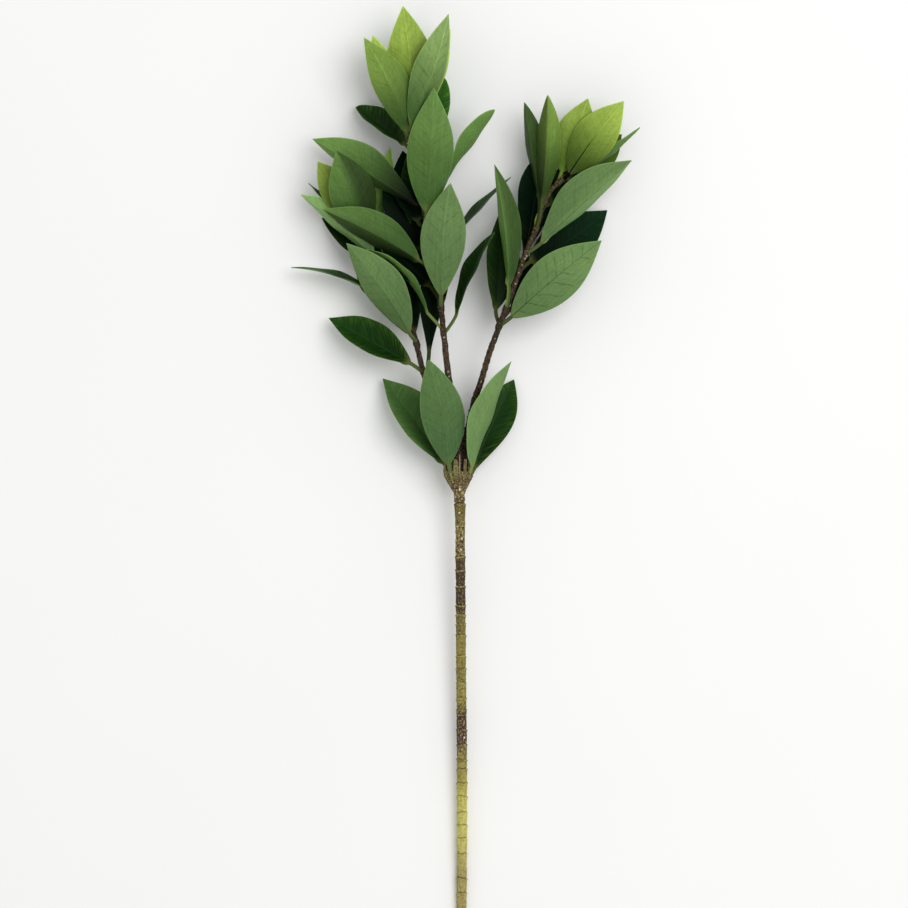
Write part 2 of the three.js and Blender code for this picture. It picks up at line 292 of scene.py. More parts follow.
def stand_for(piece: bpy.types.Object, node: str, slot: str) -> None:
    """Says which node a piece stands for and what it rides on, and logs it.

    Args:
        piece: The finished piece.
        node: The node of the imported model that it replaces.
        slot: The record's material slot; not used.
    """
    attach(piece, BODY)
    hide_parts(node)
    LOG.info("%s for %s: %d faces", piece.name, node, len(piece.data.polygons))


# ---- finishes ----


def linear(colour: Colour) -> tuple[float, float, float, float]:
    """A screen colour as the linear colour that a shader takes, by the rule of sRGB.

    Args:
        colour: Red, green and blue from 0 to 255.

    Returns:
        Linear red, green and blue from 0 to 1, and full opacity.
    """
    shares = [channel / 255 for channel in colour]
    values = [c / 12.92 if c <= 0.04045 else ((c + 0.055) / 1.055) ** 2.4 for c in shares]
    return (values[0], values[1], values[2], 1.0)


class Graph:
    """One material and the nodes that colour it."""

    NOISE_ROUGHNESS = 0.6
    FLECK_CORE = 0.6

    def __init__(self, name: str) -> None:
        """Starts a material with nothing but its shader.

        Args:
            name: The material's name.
        """
        self.material = bpy.data.materials.new(name)
        self.material.use_nodes = True
        self._nodes = self.material.node_tree.nodes
        self._links = self.material.node_tree.links
        self.shader = self._nodes["Principled BSDF"]

    def node(self, kind: str, inputs: Mapping[int | str, object], **settings: object) -> bpy.types.Node:
        """Adds a node.

        Args:
            kind: Blender's name of the node type.
            inputs: Values or sockets, by input index or name.
            **settings: Properties of the node.

        Returns:
            The new node.
        """
        made = self._nodes.new(kind)
        for key, value in settings.items():
            setattr(made, key, value)
        for key, value in inputs.items():
            self.feed(made.inputs[key], value)
        return made

    def feed(self, target: Socket, value: object) -> None:
        """Gives an input what it needs.

        Args:
            target: The input.
            value: A socket that is linked to it, or a value that it is set to.
        """
        if isinstance(value, bpy.types.NodeSocket):
            self._links.new(value, target)
        else:
            target.default_value = value

    def attribute(self, name: str) -> Socket:
        """The number that the mesh carries under this name."""
        return self.node("ShaderNodeAttribute", {}, attribute_name=name).outputs["Fac"]

    def place(self) -> Socket:
        """The point's place in the object, in metres."""
        return self.node("ShaderNodeTexCoord", {}).outputs["Object"]

    def math(self, operation: str, *values: object) -> Socket:
        """The result of one sum on numbers or sockets."""
        return self.node("ShaderNodeMath", dict(enumerate(values)), operation=operation).outputs[0]

    def product(self, first: object, *others: object) -> Socket:
        """Multiplies numbers or sockets together.

        Args:
            first: The first of them.
            *others: The rest.

        Returns:
            Their product.
        """
        for other in others:
            first = self.math("MULTIPLY", first, other)
        return first

    def total(self, start: object, *parts: tuple[float, Socket]) -> Socket:
        """Adds weighted sockets to a start.

        Args:
            start: A number or socket.
            *parts: A weight and a socket each.

        Returns:
            Their sum.
        """
        for weight, value in parts:
            start = self.math("MULTIPLY_ADD", value, weight, start)
        return start

    def vector(self, *values: object) -> Socket:
        """A vector of three numbers or sockets."""
        return self.node("ShaderNodeCombineXYZ", dict(enumerate(values))).outputs[0]

    def lit(self, colour: Socket, factor: Socket) -> Socket:
        """A colour made lighter or darker by a number."""
        return self.node("ShaderNodeVectorMath", {0: colour, "Scale": factor}, operation="SCALE").outputs[0]

    def step(self, value: Socket, low: float, high: float, bottom: float = 0, top: float = 1) -> Socket:
        """A soft step of a value.

        Args:
            value: What is stepped.
            low: The value that gives the bottom.
            high: The value that gives the top.
            bottom: The result at and before low.
            top: The result at and after high.

        Returns:
            The stepped value.
        """
        inputs = {"Value": value, "From Min": low, "From Max": high, "To Min": bottom, "To Max": top}
        return self.node("ShaderNodeMapRange", inputs, interpolation_type="SMOOTHSTEP").outputs[0]

    def mix(self, share: object, first: object, second: object) -> Socket:
        """Two colours mixed.

        Args:
            share: How much of the second is taken.
            first: A colour or socket.
            second: A colour or socket.

        Returns:
            The mixed colour.
        """
        made = self.node("ShaderNodeMix", {}, data_type="RGBA")
        for index, value in ((0, share), (6, first), (7, second)):
            self.feed(made.inputs[index], value)
        return made.outputs[2]

    def noise(self, where: Socket, scale: float, detail: float = 3.0) -> Socket:
        """Cloudy noise from 0 to 1.

        Args:
            where: The place at which it is read.
            scale: Clouds in one unit of the place.
            detail: How many finer layers are added.

        Returns:
            The noise's value.
        """
        inputs = {"Vector": where, "Scale": scale, "Detail": detail, "Roughness": self.NOISE_ROUGHNESS}
        return self.node("ShaderNodeTexNoise", inputs).outputs["Fac"]

    def flecks(self, where: Socket, scale: float, size: float, share: float) -> Socket:
        """Small round flecks, 1 in a fleck and 0 outside.

        Args:
            where: The place at which they are read.
            scale: Cells in one unit of the place.
            size: The flecks' radius as a share of a cell.
            share: The share of cells that have a fleck.

        Returns:
            The flecks' mask.
        """
        cells = self.node("ShaderNodeTexVoronoi", {"Vector": where, "Scale": scale})
        draw = self.node("ShaderNodeSeparateColor", {0: cells.outputs["Color"]}).outputs[0]
        chosen = self.math("LESS_THAN", draw, share)
        return self.product(self.step(cells.outputs["Distance"], size, size * self.FLECK_CORE), chosen)

    def bands(self, value: Socket, stops: Sequence[tuple[float, Colour]]) -> Socket:
        """Colours that follow each other along a value from 0 to 1.

        Args:
            value: The place along the bands.
            stops: Each band's place and colour.

        Returns:
            The colour.
        """
        made = self.node("ShaderNodeValToRGB", {"Fac": value})
        ramp = made.color_ramp
        for place, _ in stops[2:]:
            ramp.elements.new(place)
        for element, (place, colour) in zip(ramp.elements, stops):
            element.position = place
            element.color = linear(colour)
        return made.outputs["Color"]

    def finish(self, colour: Socket, roughness: object, height: Socket, depth: float) -> bpy.types.Material:
        """Puts the colour, roughness and relief on the shader.

        Args:
            colour: The surface's colour.
            roughness: A number or socket.
            height: The relief, from 0 to 1.
            depth: How deep the relief is, in metres.

        Returns:
            The finished material.
        """
        bump = self.node("ShaderNodeBump", {"Height": height, "Distance": depth, "Strength": 1.0})
        self.feed(self.shader.inputs["Base Color"], colour)
        self.feed(self.shader.inputs["Roughness"], roughness)
        self.feed(self.shader.inputs["Normal"], bump.outputs[0])
        return self.material


@dataclass(frozen=True)
class Grain:
    """What the patterns of one face of a blade do to its brightness and its relief.

    light is the brightness without them, and fibres, streaks, mottle, veins, rib and rim are what each
    adds at its strongest. height, fibre_rise and vein_rise are the same for the relief. sheen is the
    roughness between the fibres and on them.
    """

    light: float
    fibres: float
    streaks: float
    veins: float
    height: float
    fibre_rise: float
    vein_rise: float
    sheen: tuple[float, float]
    mottle: float = 0.0
    rib: float = 0.0
    rim: float = 0.0

    FIBRE_SPAN = (0.2, 0.8)

    def roughness(self, graph: Graph, fibres: Socket) -> Socket:
        """The face's roughness, which follows its fibres."""
        return graph.step(fibres, *self.FIBRE_SPAN, *self.sheen)


UNDER_GRAIN = Grain(
    light=0.3,
    fibres=0.4,
    streaks=0.6,
    veins=-0.36,
    height=0.5,
    fibre_rise=0.3,
    vein_rise=-0.5,
    sheen=(0.56, 0.68),
    mottle=0.4,
    rib=0.6,
    rim=0.4,
)
UPPER_GRAIN = Grain(
    light=0.75,
    fibres=0.3,
    streaks=0.2,
    veins=0.3,
    height=0.3,
    fibre_rise=0.5,
    vein_rise=0.3,
    sheen=(0.34, 0.5),
)


@dataclass(frozen=True)
class LeafFinish:
    """The colours of one tone of leaf, from the petiole's end to the tip, on both faces.

    A PITCH is how fast a pattern changes, and a STRETCH is how far it moves on in each millimetre from
    the midrib. Rows of two numbers are where a soft step starts and ends, and in rows of four the
    step's results there follow them.
    """

    under: Colour
    under_tip: Colour
    upper: Colour
    upper_tip: Colour
    glow: Colour = (74, 112, 34)
    stalk: Colour = (104, 112, 58)
    under_gloss: float = 0.1
    upper_gloss: float = 0.05
    relief: float = 0.00018

    TIP_FADE = (0.0, 0.95)
    CLOUD_PITCH = 55
    CLOUDS = (0.35, 0.75, 0.0, 0.28)
    FIBRE_PITCH = 7.0
    FIBRE_STRETCH = 0.09
    STREAK_PITCH = 5.0
    STREAK_STRETCH = 0.65
    MOTTLE_PITCH = 480
    WANDER = 0.5
    WANDER_PITCH = 1.3
    WANDER_STRETCH = 0.12
    VEIN_LINE = (0.1, 0.0)
    VEIN_GAP_PITCH = 0.8
    VEIN_GAP_STRETCH = 0.1
    VEIN_GAPS = (0.34, 0.55)
    VEIN_FREE_MARGIN = (1.0, 7.0)
    RIB_TAPER = (0.0, 1.0, 1.0, 3.0)
    RIB_LINE = (0.75, 0.25)
    RIM_LINE = (1.0, 0.3)
    UNDER_STALK = 0.5
    UPPER_STALK = 0.7
    GLOW_LINES = (0.35, 0.75)
    GLOW_MARGIN = (9.0, 0.5, 0.15, 0.75)
    GLOW_RIM = 0.5
    UPPER_RIB = 0.75

    def _base(self, graph: Graph, near: Colour, far: Colour) -> Socket:
        """The blade's colour from its petiole to its tip, with faint darker clouds.

        Args:
            graph: The material's graph.
            near: The colour by the petiole.
            far: The colour by the tip.

        Returns:
            The colour.
        """
        share = graph.step(graph.attribute("along"), *self.TIP_FADE)
        colour = graph.mix(share, linear(near), linear(far))
        inputs = {0: graph.place(), 1: graph.attribute("seed")}
        place = graph.node("ShaderNodeVectorMath", inputs).outputs[0]
        clouds = graph.step(graph.noise(place, self.CLOUD_PITCH, detail=4), *self.CLOUDS)
        return graph.mix(clouds, colour, linear(near))

    def _grain(self, graph: Graph) -> tuple[Socket, Socket]:
        """Fine fibres along the side veins and streaks along the midrib, each about 0.5 at the mean.

        Args:
            graph: The material's graph.

        Returns:
            The fibres and the streaks.
        """
        seed = graph.attribute("seed")
        side = graph.attribute("side")
        vein = graph.product(graph.attribute("vein"), self.FIBRE_PITCH)
        fibres = graph.noise(graph.vector(vein, graph.product(side, self.FIBRE_STRETCH), seed), 1.0)
        along = graph.product(graph.attribute("along"), self.STREAK_PITCH)
        streaks = graph.noise(graph.vector(along, graph.product(side, self.STREAK_STRETCH), seed), 1.0)
        return fibres, streaks

    def _marks(self, graph: Graph) -> tuple[Socket, Socket, Socket]:
        """Where the side veins, the midrib and the margin are, each 1 there and 0 elsewhere.

        Args:
            graph: The material's graph.

        Returns:
            The side veins, the midrib and the margin.
        """
        side = graph.attribute("side")
        vein = graph.attribute("vein")
        seed = graph.attribute("seed")
        margin = graph.attribute("margin")
        where = graph.vector(vein, graph.product(side, self.WANDER_STRETCH), seed)
        wander = graph.noise(where, self.WANDER_PITCH, detail=2)
        wandering = graph.total(vein, (self.WANDER, wander))
        line = graph.step(graph.math("PINGPONG", wandering, 0.5), *self.VEIN_LINE)
        where = graph.vector(vein, graph.product(side, self.VEIN_GAP_STRETCH), seed)
        broken = graph.step(graph.noise(where, self.VEIN_GAP_PITCH, detail=2), *self.VEIN_GAPS)
        veins = graph.product(line, graph.step(margin, *self.VEIN_FREE_MARGIN), broken)
        taper = graph.step(graph.attribute("along"), *self.RIB_TAPER)
        rib = graph.step(graph.product(graph.math("ABSOLUTE", side), taper), *self.RIB_LINE)
        return veins, rib, graph.step(margin, *self.RIM_LINE)

    def under_side(self, name: str) -> bpy.types.Material:
        """The pale, matt underside, its side veins darker than the blade.

        Args:
            name: The material's name.

        Returns:
            The material.
        """
        graph = Graph(name)
        fibres, streaks = self._grain(graph)
        veins, rib, rim = self._marks(graph)
        veins = graph.product(veins, graph.attribute("veins"))
        # Below zero the rib darkens the midrib; its groove part by the petiole is painted shade.
        rib = graph.product(rib, graph.attribute("rib"))
        mottle = graph.noise(graph.place(), self.MOTTLE_PITCH)
        face = UNDER_GRAIN
        light = graph.total(face.light, (face.fibres, fibres), (face.streaks, streaks))
        light = graph.total(light, (face.mottle, mottle))
        light = graph.total(light, (face.veins, veins), (face.rib, rib), (face.rim, rim))
        base = self._base(graph, self.under, self.under_tip)
        stalk = graph.product(graph.attribute("stalk"), self.UNDER_STALK)
        base = graph.mix(stalk, base, linear(self.stalk))
        # The mesh's shade holds the leaf's tone together with its painted light and shade.
        colour = graph.lit(base, graph.product(light, graph.attribute("shade")))
        graph.shader.inputs["Specular IOR Level"].default_value = self.under_gloss
        height = graph.total(face.height, (face.fibre_rise, fibres), (face.vein_rise, veins))
        return graph.finish(colour, face.roughness(graph, fibres), height, self.relief)

    def upper_side(self, name: str) -> bpy.types.Material:
        """The dark, satin upper side, paler along its veins and towards its margin.

        Args:
            name: The material's name.

        Returns:
            The material.
        """
        graph = Graph(name)
        fibres, streaks = self._grain(graph)
        veins, rib, rim = self._marks(graph)
        face = UPPER_GRAIN
        lines = graph.step(fibres, *self.GLOW_LINES)
        outer = graph.step(graph.attribute("margin"), *self.GLOW_MARGIN)
        base = self._base(graph, self.upper, self.upper_tip)
        base = graph.mix(graph.product(lines, outer), base, linear(self.glow))
        stalk = graph.product(graph.attribute("stalk"), self.UPPER_STALK)
        base = graph.mix(stalk, base, linear(self.stalk))
        pale = graph.product(rib, graph.math("MAXIMUM", graph.attribute("rib"), 0.0), self.UPPER_RIB)
        base = graph.mix(pale, base, linear(self.under))
        base = graph.mix(graph.product(rim, self.GLOW_RIM), base, linear(self.glow))
        light = graph.total(face.light, (face.fibres, fibres), (face.streaks, streaks), (face.veins, veins))
        # The mesh's shade holds the leaf's tone together with its painted light and shade.
        colour = graph.lit(base, graph.product(light, graph.attribute("shade")))
        graph.shader.inputs["Specular IOR Level"].default_value = self.upper_gloss
        height = graph.total(face.height, (face.fibre_rise, fibres), (face.vein_rise, veins))
        return graph.finish(colour, face.roughness(graph, fibres), height, self.relief)


# A near-black leaf tone that is painted shade, for the leaves that sit in shadow among the others.
PAINTED_SHADE_FINISH = LeafFinish(
    under=(40, 70, 44),
    under_tip=(80, 108, 80),
    upper=(5, 18, 8),
    upper_tip=(14, 38, 20),
    glow=(28, 58, 30),
    upper_gloss=0.02,
)


class Tone(Enum):
    """The named tones of leaf."""

    SAGE = LeafFinish((86, 114, 66), (104, 134, 78), (16, 44, 16), (34, 70, 30))
    DUSK = LeafFinish((76, 108, 64), (88, 118, 66), (16, 44, 16), (34, 70, 30))
    MIST = LeafFinish((64, 94, 42), (142, 172, 100), (16, 44, 16), (34, 70, 30))
    FERN = LeafFinish((58, 88, 38), (94, 126, 62), (14, 40, 12), (34, 72, 26))
    SPRING = LeafFinish((58, 88, 36), (128, 158, 70), (24, 54, 16), (58, 96, 30))
    LIME = LeafFinish((86, 118, 34), (158, 184, 80), (66, 100, 24), (108, 140, 42))
    MOSS = LeafFinish((66, 98, 48), (90, 122, 64), (58, 94, 40), (70, 104, 54), glow=(108, 142, 70))
    DEEP = LeafFinish((66, 98, 48), (90, 122, 64), (10, 34, 9), (26, 62, 20))
    # The near-black tone: painted shade.
    PAINTED_SHADE = PAINTED_SHADE_FINISH

    def materials(self) -> tuple[bpy.types.Material, bpy.types.Material]:
        """The materials of the two faces, made when they are first asked for.

        Returns:
            The underside's and the upper side's.
        """
        names = [f"leaf_{self.name.lower()}_{face}" for face in ("under", "upper")]
        if names[0] not in bpy.data.materials:
            self.value.under_side(names[0])
            self.value.upper_side(names[1])
        return bpy.data.materials[names[0]], bpy.data.materials[names[1]]


@dataclass(frozen=True)
class BarkFinish:
    """Speckled bark: bands of colour along the stem, lengthwise streaks, dark and light grains.

    Rows of two and of four numbers are soft steps, as in a leaf's finish.
    """

    bands: tuple[tuple[float, Colour], ...]
    dark: Colour = (46, 33, 24)
    light: Colour = (182, 170, 108)
    lip: Colour = (190, 182, 108)
    # The folds' dark colour is partly the bark's own and partly painted shade.
    crease: Colour = (62, 44, 26)
    dot: Colour = (236, 226, 212)
    # Painted shade inside the fork's open mouth.
    hollow: Colour = (14, 10, 6)
    dark_share: float = 0.85
    light_share: float = 0.8
    grain_pitch: float = 0.5
    fleck_share: float = 0.16
    gloss: float = 0.2
    relief: float = 0.0005

    STREAK_PITCH = 1.0
    STREAK_STRETCH = 0.1
    STREAK_LIGHT = 0.5
    CRUMB_FINENESS = 1.5
    DARK_GRAINS = (0.5, 0.58)
    LIGHT_CRUMBS = (0.55, 0.65)
    FLECK_PITCH = 0.34
    FLECK_SIZE = 0.2
    LIP_WEAR = (0.38, 0.56, 1.0, 0.3)
    SHEEN = (0.3, 0.7, 0.6, 0.78)
    STREAK_RISE = 0.4
    GRAIN_RISE = 0.6

    def material(self, name: str) -> bpy.types.Material:
        """Makes the material.

        Args:
            name: The material's name.

        Returns:
            The material.
        """
        graph = Graph(name)
        right, above, run = (graph.attribute(key) for key in ("round_x", "round_y", "run"))
        skin = graph.vector(right, above, run)
        stretched = graph.vector(right, above, graph.product(run, self.STREAK_STRETCH))
        streaks = graph.noise(stretched, self.STREAK_PITCH, detail=2)
        grains = graph.noise(skin, self.grain_pitch, detail=2)
        crumbs = graph.noise(skin, self.grain_pitch * self.CRUMB_FINENESS, detail=1)
        speckle = graph.attribute("speckle")
        colour = graph.bands(graph.attribute("along"), self.bands)
        colour = graph.lit(colour, graph.total(self.STREAK_LIGHT, (1.0, streaks)))
        dark = graph.product(graph.step(grains, *self.DARK_GRAINS), speckle, self.dark_share)
        colour = graph.mix(dark, colour, linear(self.dark))
        light = graph.product(graph.step(crumbs, *self.LIGHT_CRUMBS), speckle, self.light_share)
        colour = graph.mix(light, colour, linear(self.light))
        flecks = graph.flecks(skin, self.FLECK_PITCH, self.FLECK_SIZE, self.fleck_share)
        colour = graph.mix(graph.product(flecks, speckle), colour, linear(self.dot))
        worn = graph.step(grains, *self.LIP_WEAR)
        colour = graph.mix(graph.product(graph.attribute("lip"), worn), colour, linear(self.lip))
        # The folds' colour is partly the bark's own and partly painted shade, and the mouth's near-black is
        # painted shade.
        for key, paint in (("crease", self.crease), ("dot", self.dot), ("hollow", self.hollow)):
            colour = graph.mix(graph.attribute(key), colour, linear(paint))
        graph.shader.inputs["Specular IOR Level"].default_value = self.gloss
        height = graph.total(0.0, (self.STREAK_RISE, streaks), (self.GRAIN_RISE, grains))
        return graph.finish(colour, graph.step(grains, *self.SHEEN), height, self.relief)


@dataclass(frozen=True)
class BudFinish:
    """A bud's scales: yellow-green, browner at their edges and at the tip."""

    scale: Colour = (150, 164, 62)
    edge: Colour = (104, 82, 44)
    relief: float = 0.0002

    SPECKLE_PITCH = 700
    SPECKS = (0.35, 0.6)
    BROWN_TIP = (0.55, 1.0)
    SHEEN = (0.3, 0.7, 0.5, 0.65)

    def material(self, name: str) -> bpy.types.Material:
        """Makes the material.

        Args:
            name: The material's name.

        Returns:
            The material.
        """
        graph = Graph(name)
        speckle = graph.noise(graph.place(), self.SPECKLE_PITCH)
        tip = graph.step(graph.attribute("along"), *self.BROWN_TIP)
        browning = graph.product(tip, graph.step(speckle, *self.SPECKS))
        colour = graph.mix(browning, linear(self.scale), linear(self.edge))
        colour = graph.mix(graph.attribute("seam"), colour, linear(self.edge))
        return graph.finish(colour, graph.step(speckle, *self.SHEEN), speckle, self.relief)


@dataclass(frozen=True)
class FloorFinish:
    """A plain, pale, matt floor."""

    colour: Colour = (248, 248, 247)
    darker: float = 4
    cloud_pitch: float = 2.5
    roughness: float = 0.9

    def material(self, name: str) -> bpy.types.Material:
        """Makes the material.

        Args:
            name: The material's name.

        Returns:
            The material.
        """
        graph = Graph(name)
        clouds = graph.noise(graph.place(), self.cloud_pitch, detail=2)
        shaded = tuple(channel - self.darker for channel in self.colour)
        colour = graph.mix(clouds, linear(self.colour), linear(shaded))
        graph.shader.inputs["Specular IOR Level"].default_value = 0.0
        return graph.finish(colour, self.roughness, clouds, 0.0)


CANE_BARK = BarkFinish(
    bands=(
        (0.0, (150, 136, 84)),
        (0.06, (162, 148, 90)),
        (0.125, (158, 146, 88)),
        (0.175, (178, 168, 98)),
        (0.215, (194, 190, 104)),
        (0.305, (188, 182, 94)),
        (0.345, (160, 150, 76)),
        (0.395, (142, 130, 68)),
        (0.42, (110, 92, 60)),
        (0.435, (78, 55, 45)),
        (0.49, (66, 46, 38)),
        (0.51, (120, 108, 58)),
        (0.53, (146, 136, 67)),
        (0.575, (128, 119, 59)),
        (0.66, (130, 119, 60)),
        (0.685, (108, 100, 54)),
        (0.71, (116, 106, 56)),
        (0.735, (66, 52, 38)),
        (0.76, (62, 48, 38)),
        (0.84, (70, 56, 42)),
        (0.86, (112, 98, 66)),
        (0.93, (118, 106, 64)),
        (0.95, (101, 91, 42)),
        (1.0, (94, 84, 41)),
    ),
)
FORK_BARK = BarkFinish(
    bands=(
        (0.0, (106, 92, 60)),
        (0.3, (92, 74, 52)),
        (0.6, (104, 98, 54)),
        (0.8, (124, 126, 70)),
        (1.0, (138, 116, 98)),
    ),
    grain_pitch=0.6,
)
BROWN_TWIG = BarkFinish(
    bands=(
        (0.0, (44, 30, 26)),
        (0.25, (44, 31, 25)),
        (0.32, (70, 58, 34)),
        (0.45, (46, 36, 24)),
        (0.75, (62, 54, 30)),
        (1.0, (80, 78, 42)),
    ),
    dark=(15, 9, 9),
    light=(112, 88, 66),
    lip=(120, 108, 64),
    crease=(16, 11, 8),
    dot=(186, 168, 150),
    fleck_share=0.22,
    light_share=0.6,
)


# ---- leaves ----


@dataclass(frozen=True)
class LeafSpec:
    """Where one leaf grows, the ends of its blade, its width, tone and bends.

    at is the share of its twig at which the leaf grows, or the place itself. turn rolls the blade about
    the line between its ends. fold lifts both halves from the midrib; below zero they hang, and the
    underside faces up. arch bows the midrib out of the blade's plane and sweep bows it within that
    plane. peak above 1 moves the widest place towards the tip, and blunt rounds the tip. Angles are
    degrees. shade lightens or darkens the tone: partly the leaf's own tone and partly painted light
    and shade, and its low values on the leaves inside the clusters are painted shade. halves paints
    light on the left half and shade on the right, the other way round below zero. deep paints shade at
    the petiole's end, and light there below zero. rib is how pale (above zero) or dark the midrib looks,
    groove paints shade in the midrib's groove on its lower half, and veins is how much the side veins
    show.
    """

    at: float | Point
    base: Point
    tip: Point
    wide: float
    tone: Tone = Tone.SAGE
    turn: float = 0
    fold: float = -10
    arch: float = 0
    sweep: float = 0
    shade: float = 1.0
    halves: float = 0.0
    deep: float = 0.0
    rib: float = 0.25
    groove: float = 0.0
    veins: float = 0.4
    peak: float = 0.95
    blunt: float = 0.0


@dataclass
class LeafGrid:
    """The points of a leaf's middle sheet before it is folded, one row for each section of the leaf.

    centres, left and out are each section's place and its directions, and length is the blade's. share
    is the place along the blade and bow is how far it bows there, both 0 on the petiole. flat is 0 where
    the section is round and 1 where it is a blade. across runs from 1 at the left edge to -1 at the
    right edge, and half is half of the section's width.
    """

    centres: np.ndarray
    left: np.ndarray
    out: np.ndarray
    length: float
    share: np.ndarray
    bow: np.ndarray
    flat: np.ndarray
    across: np.ndarray
    half: np.ndarray

    @property
    def distance(self) -> np.ndarray:
        """Each point's distance from the midrib, above zero on the left."""
        return self.half * self.across

    @property
    def size(self) -> np.ndarray:
        """Each point's share of the way to its edge."""
        return np.abs(self.across)


@dataclass
class Leaf:
    """One leaf: a petiole that widens into a thin blade with a midrib and side veins.

    Rows are sections along the leaf, and end_crowding draws the blade's towards its ends. half_columns
    are the places across half a section, which is round on the petiole and a blade from flat_from on.
    petiole_bend is how much the petiole curves, and steepest is the least share of the blade's left
    that lies across the petiole before the petiole needs a left of its own. belly shapes the outline up
    to taper_from, and taper shapes it at the tip. keel_round rounds the fold, and curl is how much of
    the fold is a soft curve.
    Side veins are counted along the blade: vein_lean carries them forward, vein_stagger sets the
    halves' veins apart, and drift and wiggle make them uneven. half_shade_edge is how sharply the painted
    light and shade of the two halves part at the midrib, and groove_shade_ends are where the painted shade
    in the midrib's groove starts to fade and is gone. base_shade_reach is how far along the blade the
    painted shade at the petiole's end reaches.
    """

    spec: LeafSpec
    root: np.ndarray
    number: int
    petiole_rows: int = 10
    blade_rows: int = 76
    half_columns: tuple[float, ...] = (0, 0.022, 0.065, 0.14, 0.26, 0.4, 0.55, 0.7, 0.83, 0.93, 0.98, 1)
    end_crowding: float = 0.55
    flat_from: float = 0.09
    blade_thick: float = 0.55
    edge_sharp: int = 12
    petiole_wide: float = 3.2
    petiole_thick: float = 2.5
    petiole_bend: float = 0.4
    steepest: float = 0.15
    tip_wide: float = 0.5
    root_sink: float = 0.8
    belly: float = 0.88
    taper: float = 1.0
    taper_from: float = 0.45
    keel_round: float = 0.045
    curl: float = 0.28
    margin_wave: float = 0.7
    waves: float = 2.3
    wave_shift: float = 0.37
    rib_rise: float = 0.35
    rib_width: float = 0.8
    rib_sink: float = 0.4
    rib_fade: float = 0.75
    vein_pairs: int = 9
    vein_rise: float = 0.07
    vein_sharp: int = 6
    vein_lean: float = 0.19
    vein_curve: float = 0.8
    vein_stagger: float = 0.42
    vein_panel: tuple[float, ...] = (0.04, 0.2, 0.7, 0.97)
    vein_drift: float = 0.3
    drift_waves: float = 7.3
    drift_by_leaf: float = 2.1
    drift_by_half: float = 2.0
    vein_wiggle: float = 0.18
    wiggle_waves: float = 9.0
    half_shade_edge: float = 5.0
    base_shade_reach: float = 0.8
    groove_shade_ends: tuple[float, float] = (0.3, 0.65)
    stem_margin: float = 9.0
    seed_step: float = 1.37

    @property
    def under_up(self) -> bool:
        """Whether the face that looks up is the underside."""
        return self.spec.fold < 0

    def _axes(self) -> tuple[np.ndarray, np.ndarray, np.ndarray, float]:
        """The blade's own directions.

        Returns:
            Along the midrib, to its left and out of the face that looks up, and the blade's length.
        """
        along = np.array(self.spec.tip, float) - np.array(self.spec.base, float)
        length = float(np.linalg.norm(along))
        along = along / length
        level = unit(np.cross([0.0, 0.0, 1.0], along))
        side = turned(level, along, math.radians(self.spec.turn))
        return along, side, np.cross(along, side), length

    def _columns(self) -> tuple[np.ndarray, np.ndarray]:
        """Places across a section, from 1 at the left edge to -1 at the right edge.

        Returns:
            The places for the blade and for the round petiole.
        """
        half = np.array(self.half_columns)
        blade = np.concatenate([half[::-1], -half[1:]])
        round_half = np.sin(np.linspace(0, math.pi / 2, len(half)))
        return blade, np.concatenate([round_half[::-1], -round_half[1:]])

    def _half_widths(self, share: np.ndarray) -> np.ndarray:
        """Half the blade's width along it.

        Args:
            share: Places along the blade.

        Returns:
            Half the width at each.
        """
        spec = self.spec
        point = self.taper - spec.blunt
        bluntness = self.belly + (point - self.belly) * smooth(share, self.taper_from, 1.0)
        outline = np.sin(math.pi * np.clip(share, 0, 1) ** spec.peak).clip(0) ** bluntness
        edge = self.petiole_wide + (self.tip_wide - self.petiole_wide) * share
        return (spec.wide * outline * (1 - edge / spec.wide) + edge) / 2

    def _petiole(self, along: np.ndarray, side: np.ndarray, up: np.ndarray) -> tuple[np.ndarray, ...]:
        """The petiole's centres and its section's directions.

        Args:
            along: The blade's direction.
            side: To the blade's left.
            up: Out of the blade's face that looks up.

        Returns:
            Centres, directions to the left and directions out, one row for each section.
        """
        base = np.array(self.spec.base, float)
        reach = np.linalg.norm(base - self.root)
        start = self.root - unit(base - self.root) * self.root_sink
        control = base - along * self.petiole_bend * reach
        share = np.linspace(0, 1, self.petiole_rows, endpoint=False)[:, None]
        centres = (1 - share) ** 2 * start + 2 * share * (1 - share) * control + share**2 * base
        ahead = unit(2 * (1 - share) * (control - start) + 2 * share * (base - control))
        left = side - ahead * (ahead @ side)[:, None]
        level = np.linalg.norm(left, axis=1, keepdims=True) > self.steepest
        left = unit(np.where(level, left, np.cross(up, ahead)))
        return centres, left, np.cross(ahead, left)

    def _grid(self) -> LeafGrid:
        """Lays out the sections of the petiole and the blade.

        Returns:
            The grid of their points.
        """
        along, side, up, length = self._axes()
        stem_centres, stem_left, stem_out = self._petiole(along, side, up)
        even = np.linspace(0, 1, self.blade_rows)
        crowded = 0.5 - 0.5 * np.cos(math.pi * even)
        share = (1 - self.end_crowding) * even + self.end_crowding * crowded
        bow = 4 * share * (1 - share)
        centres = np.array(self.spec.base, float) + np.outer(share * length, along)
        centres += np.outer(self.spec.arch * bow, up) + np.outer(self.spec.sweep * bow, side)
        stem = np.zeros(self.petiole_rows)
        share = np.concatenate([stem, share])[:, None]
        flat = smooth(share, 0, self.flat_from)
        blade_columns, round_columns = self._columns()
        return LeafGrid(
            centres=np.vstack([stem_centres, centres]),
            left=np.vstack([stem_left, np.tile(side, (self.blade_rows, 1))]),
            out=np.vstack([stem_out, np.tile(up, (self.blade_rows, 1))]),
            length=length,
            share=share,
            bow=np.concatenate([stem, bow])[:, None],
            flat=flat,
            across=blade_columns * flat + round_columns * (1 - flat),
            half=self._half_widths(share),
        )

